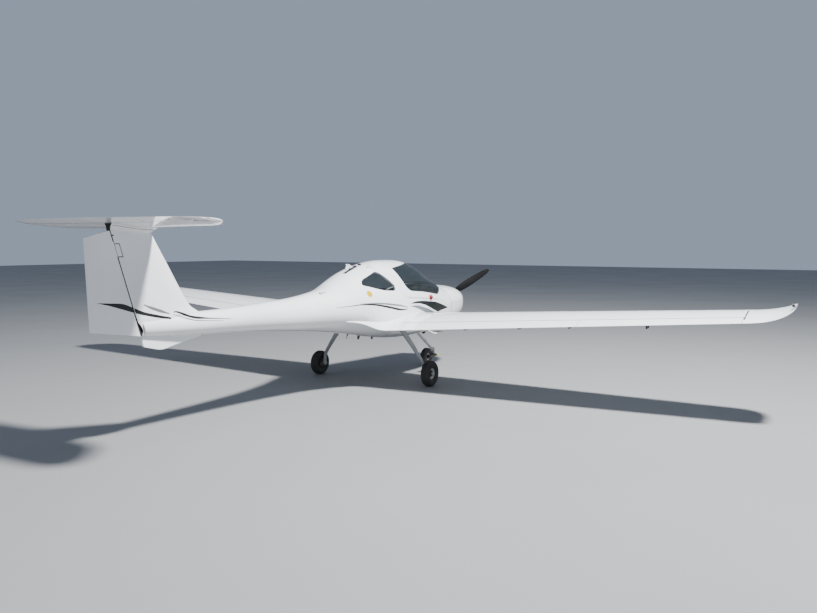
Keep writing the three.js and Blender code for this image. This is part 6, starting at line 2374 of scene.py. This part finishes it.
def build_gear():
    build_pair(main_leg(), "leg_skin", "gear_paint", LEG_PAINT, ["main_leg"])
    build_pair(brake_hose(), "brake_hose", "dark_trim", BLACK_TRIM)
    build_pair(brake_body(), "brake_caliper", "dark_trim", SOOTY, ["brake"])
    strut, tread = boarding_step()
    build_pair(strut, "step_strut", "skin", GELCOAT, ["step"])
    build_pair(tread, "step_pad", "dark_trim", BLACK_TRIM)
    nose_leg().place("nose_leg_tube", "gear_paint", LEG_PAINT, ["nose_leg"])
    nose_fork().place("nose_fork_body", "gear_paint", WEB_GREY, ["nose_fork"], "nose_fork")
    tow_fitting().place("tow_lugs", "gear_paint", TOW_YELLOW, body="nose_fork")
    exhaust_pipe().place("exhaust_stub", "engine_metal", SOOTY, ["exhaust"])
    silencer().place("silencer_drum", "engine_metal", SOOTY)
    build_wheel("left", MAIN_WHEEL, 1, True)
    build_wheel("right", MAIN_WHEEL, -1, True)
    build_wheel("nose", NOSE_WHEEL, 1, False)


def build_cabin():
    for side, name in ((1, "left"), (-1, "right")):
        seat_pieces(side, name)
    panel_fittings()
    rudder_pedals()
    engine_view()
    kept = {
        "instrument_panel": BLACK_TRIM, "control_sticks": BLACK_TRIM,
        "firewall": STEEL, "engine_block": SOOTY,
    }
    for node, material in kept.items():
        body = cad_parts[node]
        body.data.materials.clear()
        body.data.materials.append(material)


def build_propeller():
    propeller_body().place("propeller_blades", "blade_black", BLADE_BLACK, ["propeller"], "propeller")
    spinner_body().place("spinner_shell", "skin", GELCOAT, ["spinner"], "propeller")


# Floor, light and camera

CAMERA = {"at": (-6.0569, 7.9327, 1.9460), "yaw": 148.828, "pitch": -4.658, "roll": 0.1217, "lens": 33.46}
SENSOR_WIDTH = 36
SUN_FROM = (-0.50, 0.03, 0.87)


def build_camera():
    yaw, pitch, roll = (math.radians(CAMERA[k]) for k in ("yaw", "pitch", "roll"))
    forward = Vector((math.sin(yaw) * math.cos(pitch), math.cos(yaw) * math.cos(pitch), math.sin(pitch)))
    right = Vector((math.cos(yaw), -math.sin(yaw), 0))
    up = right.cross(forward)
    right, up = (right * math.cos(roll) + up * math.sin(roll), up * math.cos(roll) - right * math.sin(roll))
    data = bpy.data.cameras.new("camera")
    data.sensor_width = SENSOR_WIDTH
    data.lens = CAMERA["lens"]
    data.clip_end = 200
    camera = bpy.data.objects.new("camera", data)
    bpy.context.scene.collection.objects.link(camera)
    turn = Matrix((right, up, -forward)).transposed().to_4x4()
    camera.matrix_world = Matrix.Translation(CAMERA["at"]) @ turn
    bpy.context.scene.camera = camera


def build_stage():
    mesh = bpy.data.meshes.new("floor")
    reach = 60.0
    corners = [(x * reach, y * reach, 0) for x, y in ((-1, -1), (1, -1), (1, 1), (-1, 1))]
    mesh.from_pydata(corners, [], [(0, 1, 2, 3)])
    floor = bpy.data.objects.new("floor", mesh)
    bpy.context.scene.collection.objects.link(floor)
    paint = finish(
        "floor_paint", (0.235, 0.237, 0.24), (0.22, 0.222, 0.225), (0.7, 0.85), bump=0.02,
        patch=0.4, grain=60.0)
    mesh.materials.append(paint)
    world = bpy.data.worlds.new("studio")
    bpy.context.scene.world = world
    world.use_nodes = True
    world.node_tree.nodes["Background"].inputs["Color"].default_value = (0.58, 0.70, 0.90, 1)
    world.node_tree.nodes["Background"].inputs["Strength"].default_value = 0.50
    sun = Vector(SUN_FROM).normalized()
    for name, direction, distance, size, power in (
            ("key", sun, 16, 1.6, 8700), ("fill", Vector((0.6, 0.75, 0.35)).normalized(), 18, 12, 300)):
        data = bpy.data.lights.new(name, "AREA")
        data.shape = "DISK"
        data.size = size
        data.energy = power
        lamp = bpy.data.objects.new(name, data)
        lamp.location = direction * distance
        lamp.rotation_mode = "QUATERNION"
        lamp.rotation_quaternion = direction.to_track_quat("Z", "Y")
        bpy.context.scene.collection.objects.link(lamp)


build_camera()
build_stage()
build_fuselage()
build_wings()
build_tail()
build_gear()
build_cabin()
build_propeller()
tie_down_rings()
roof_vent()
antennas()
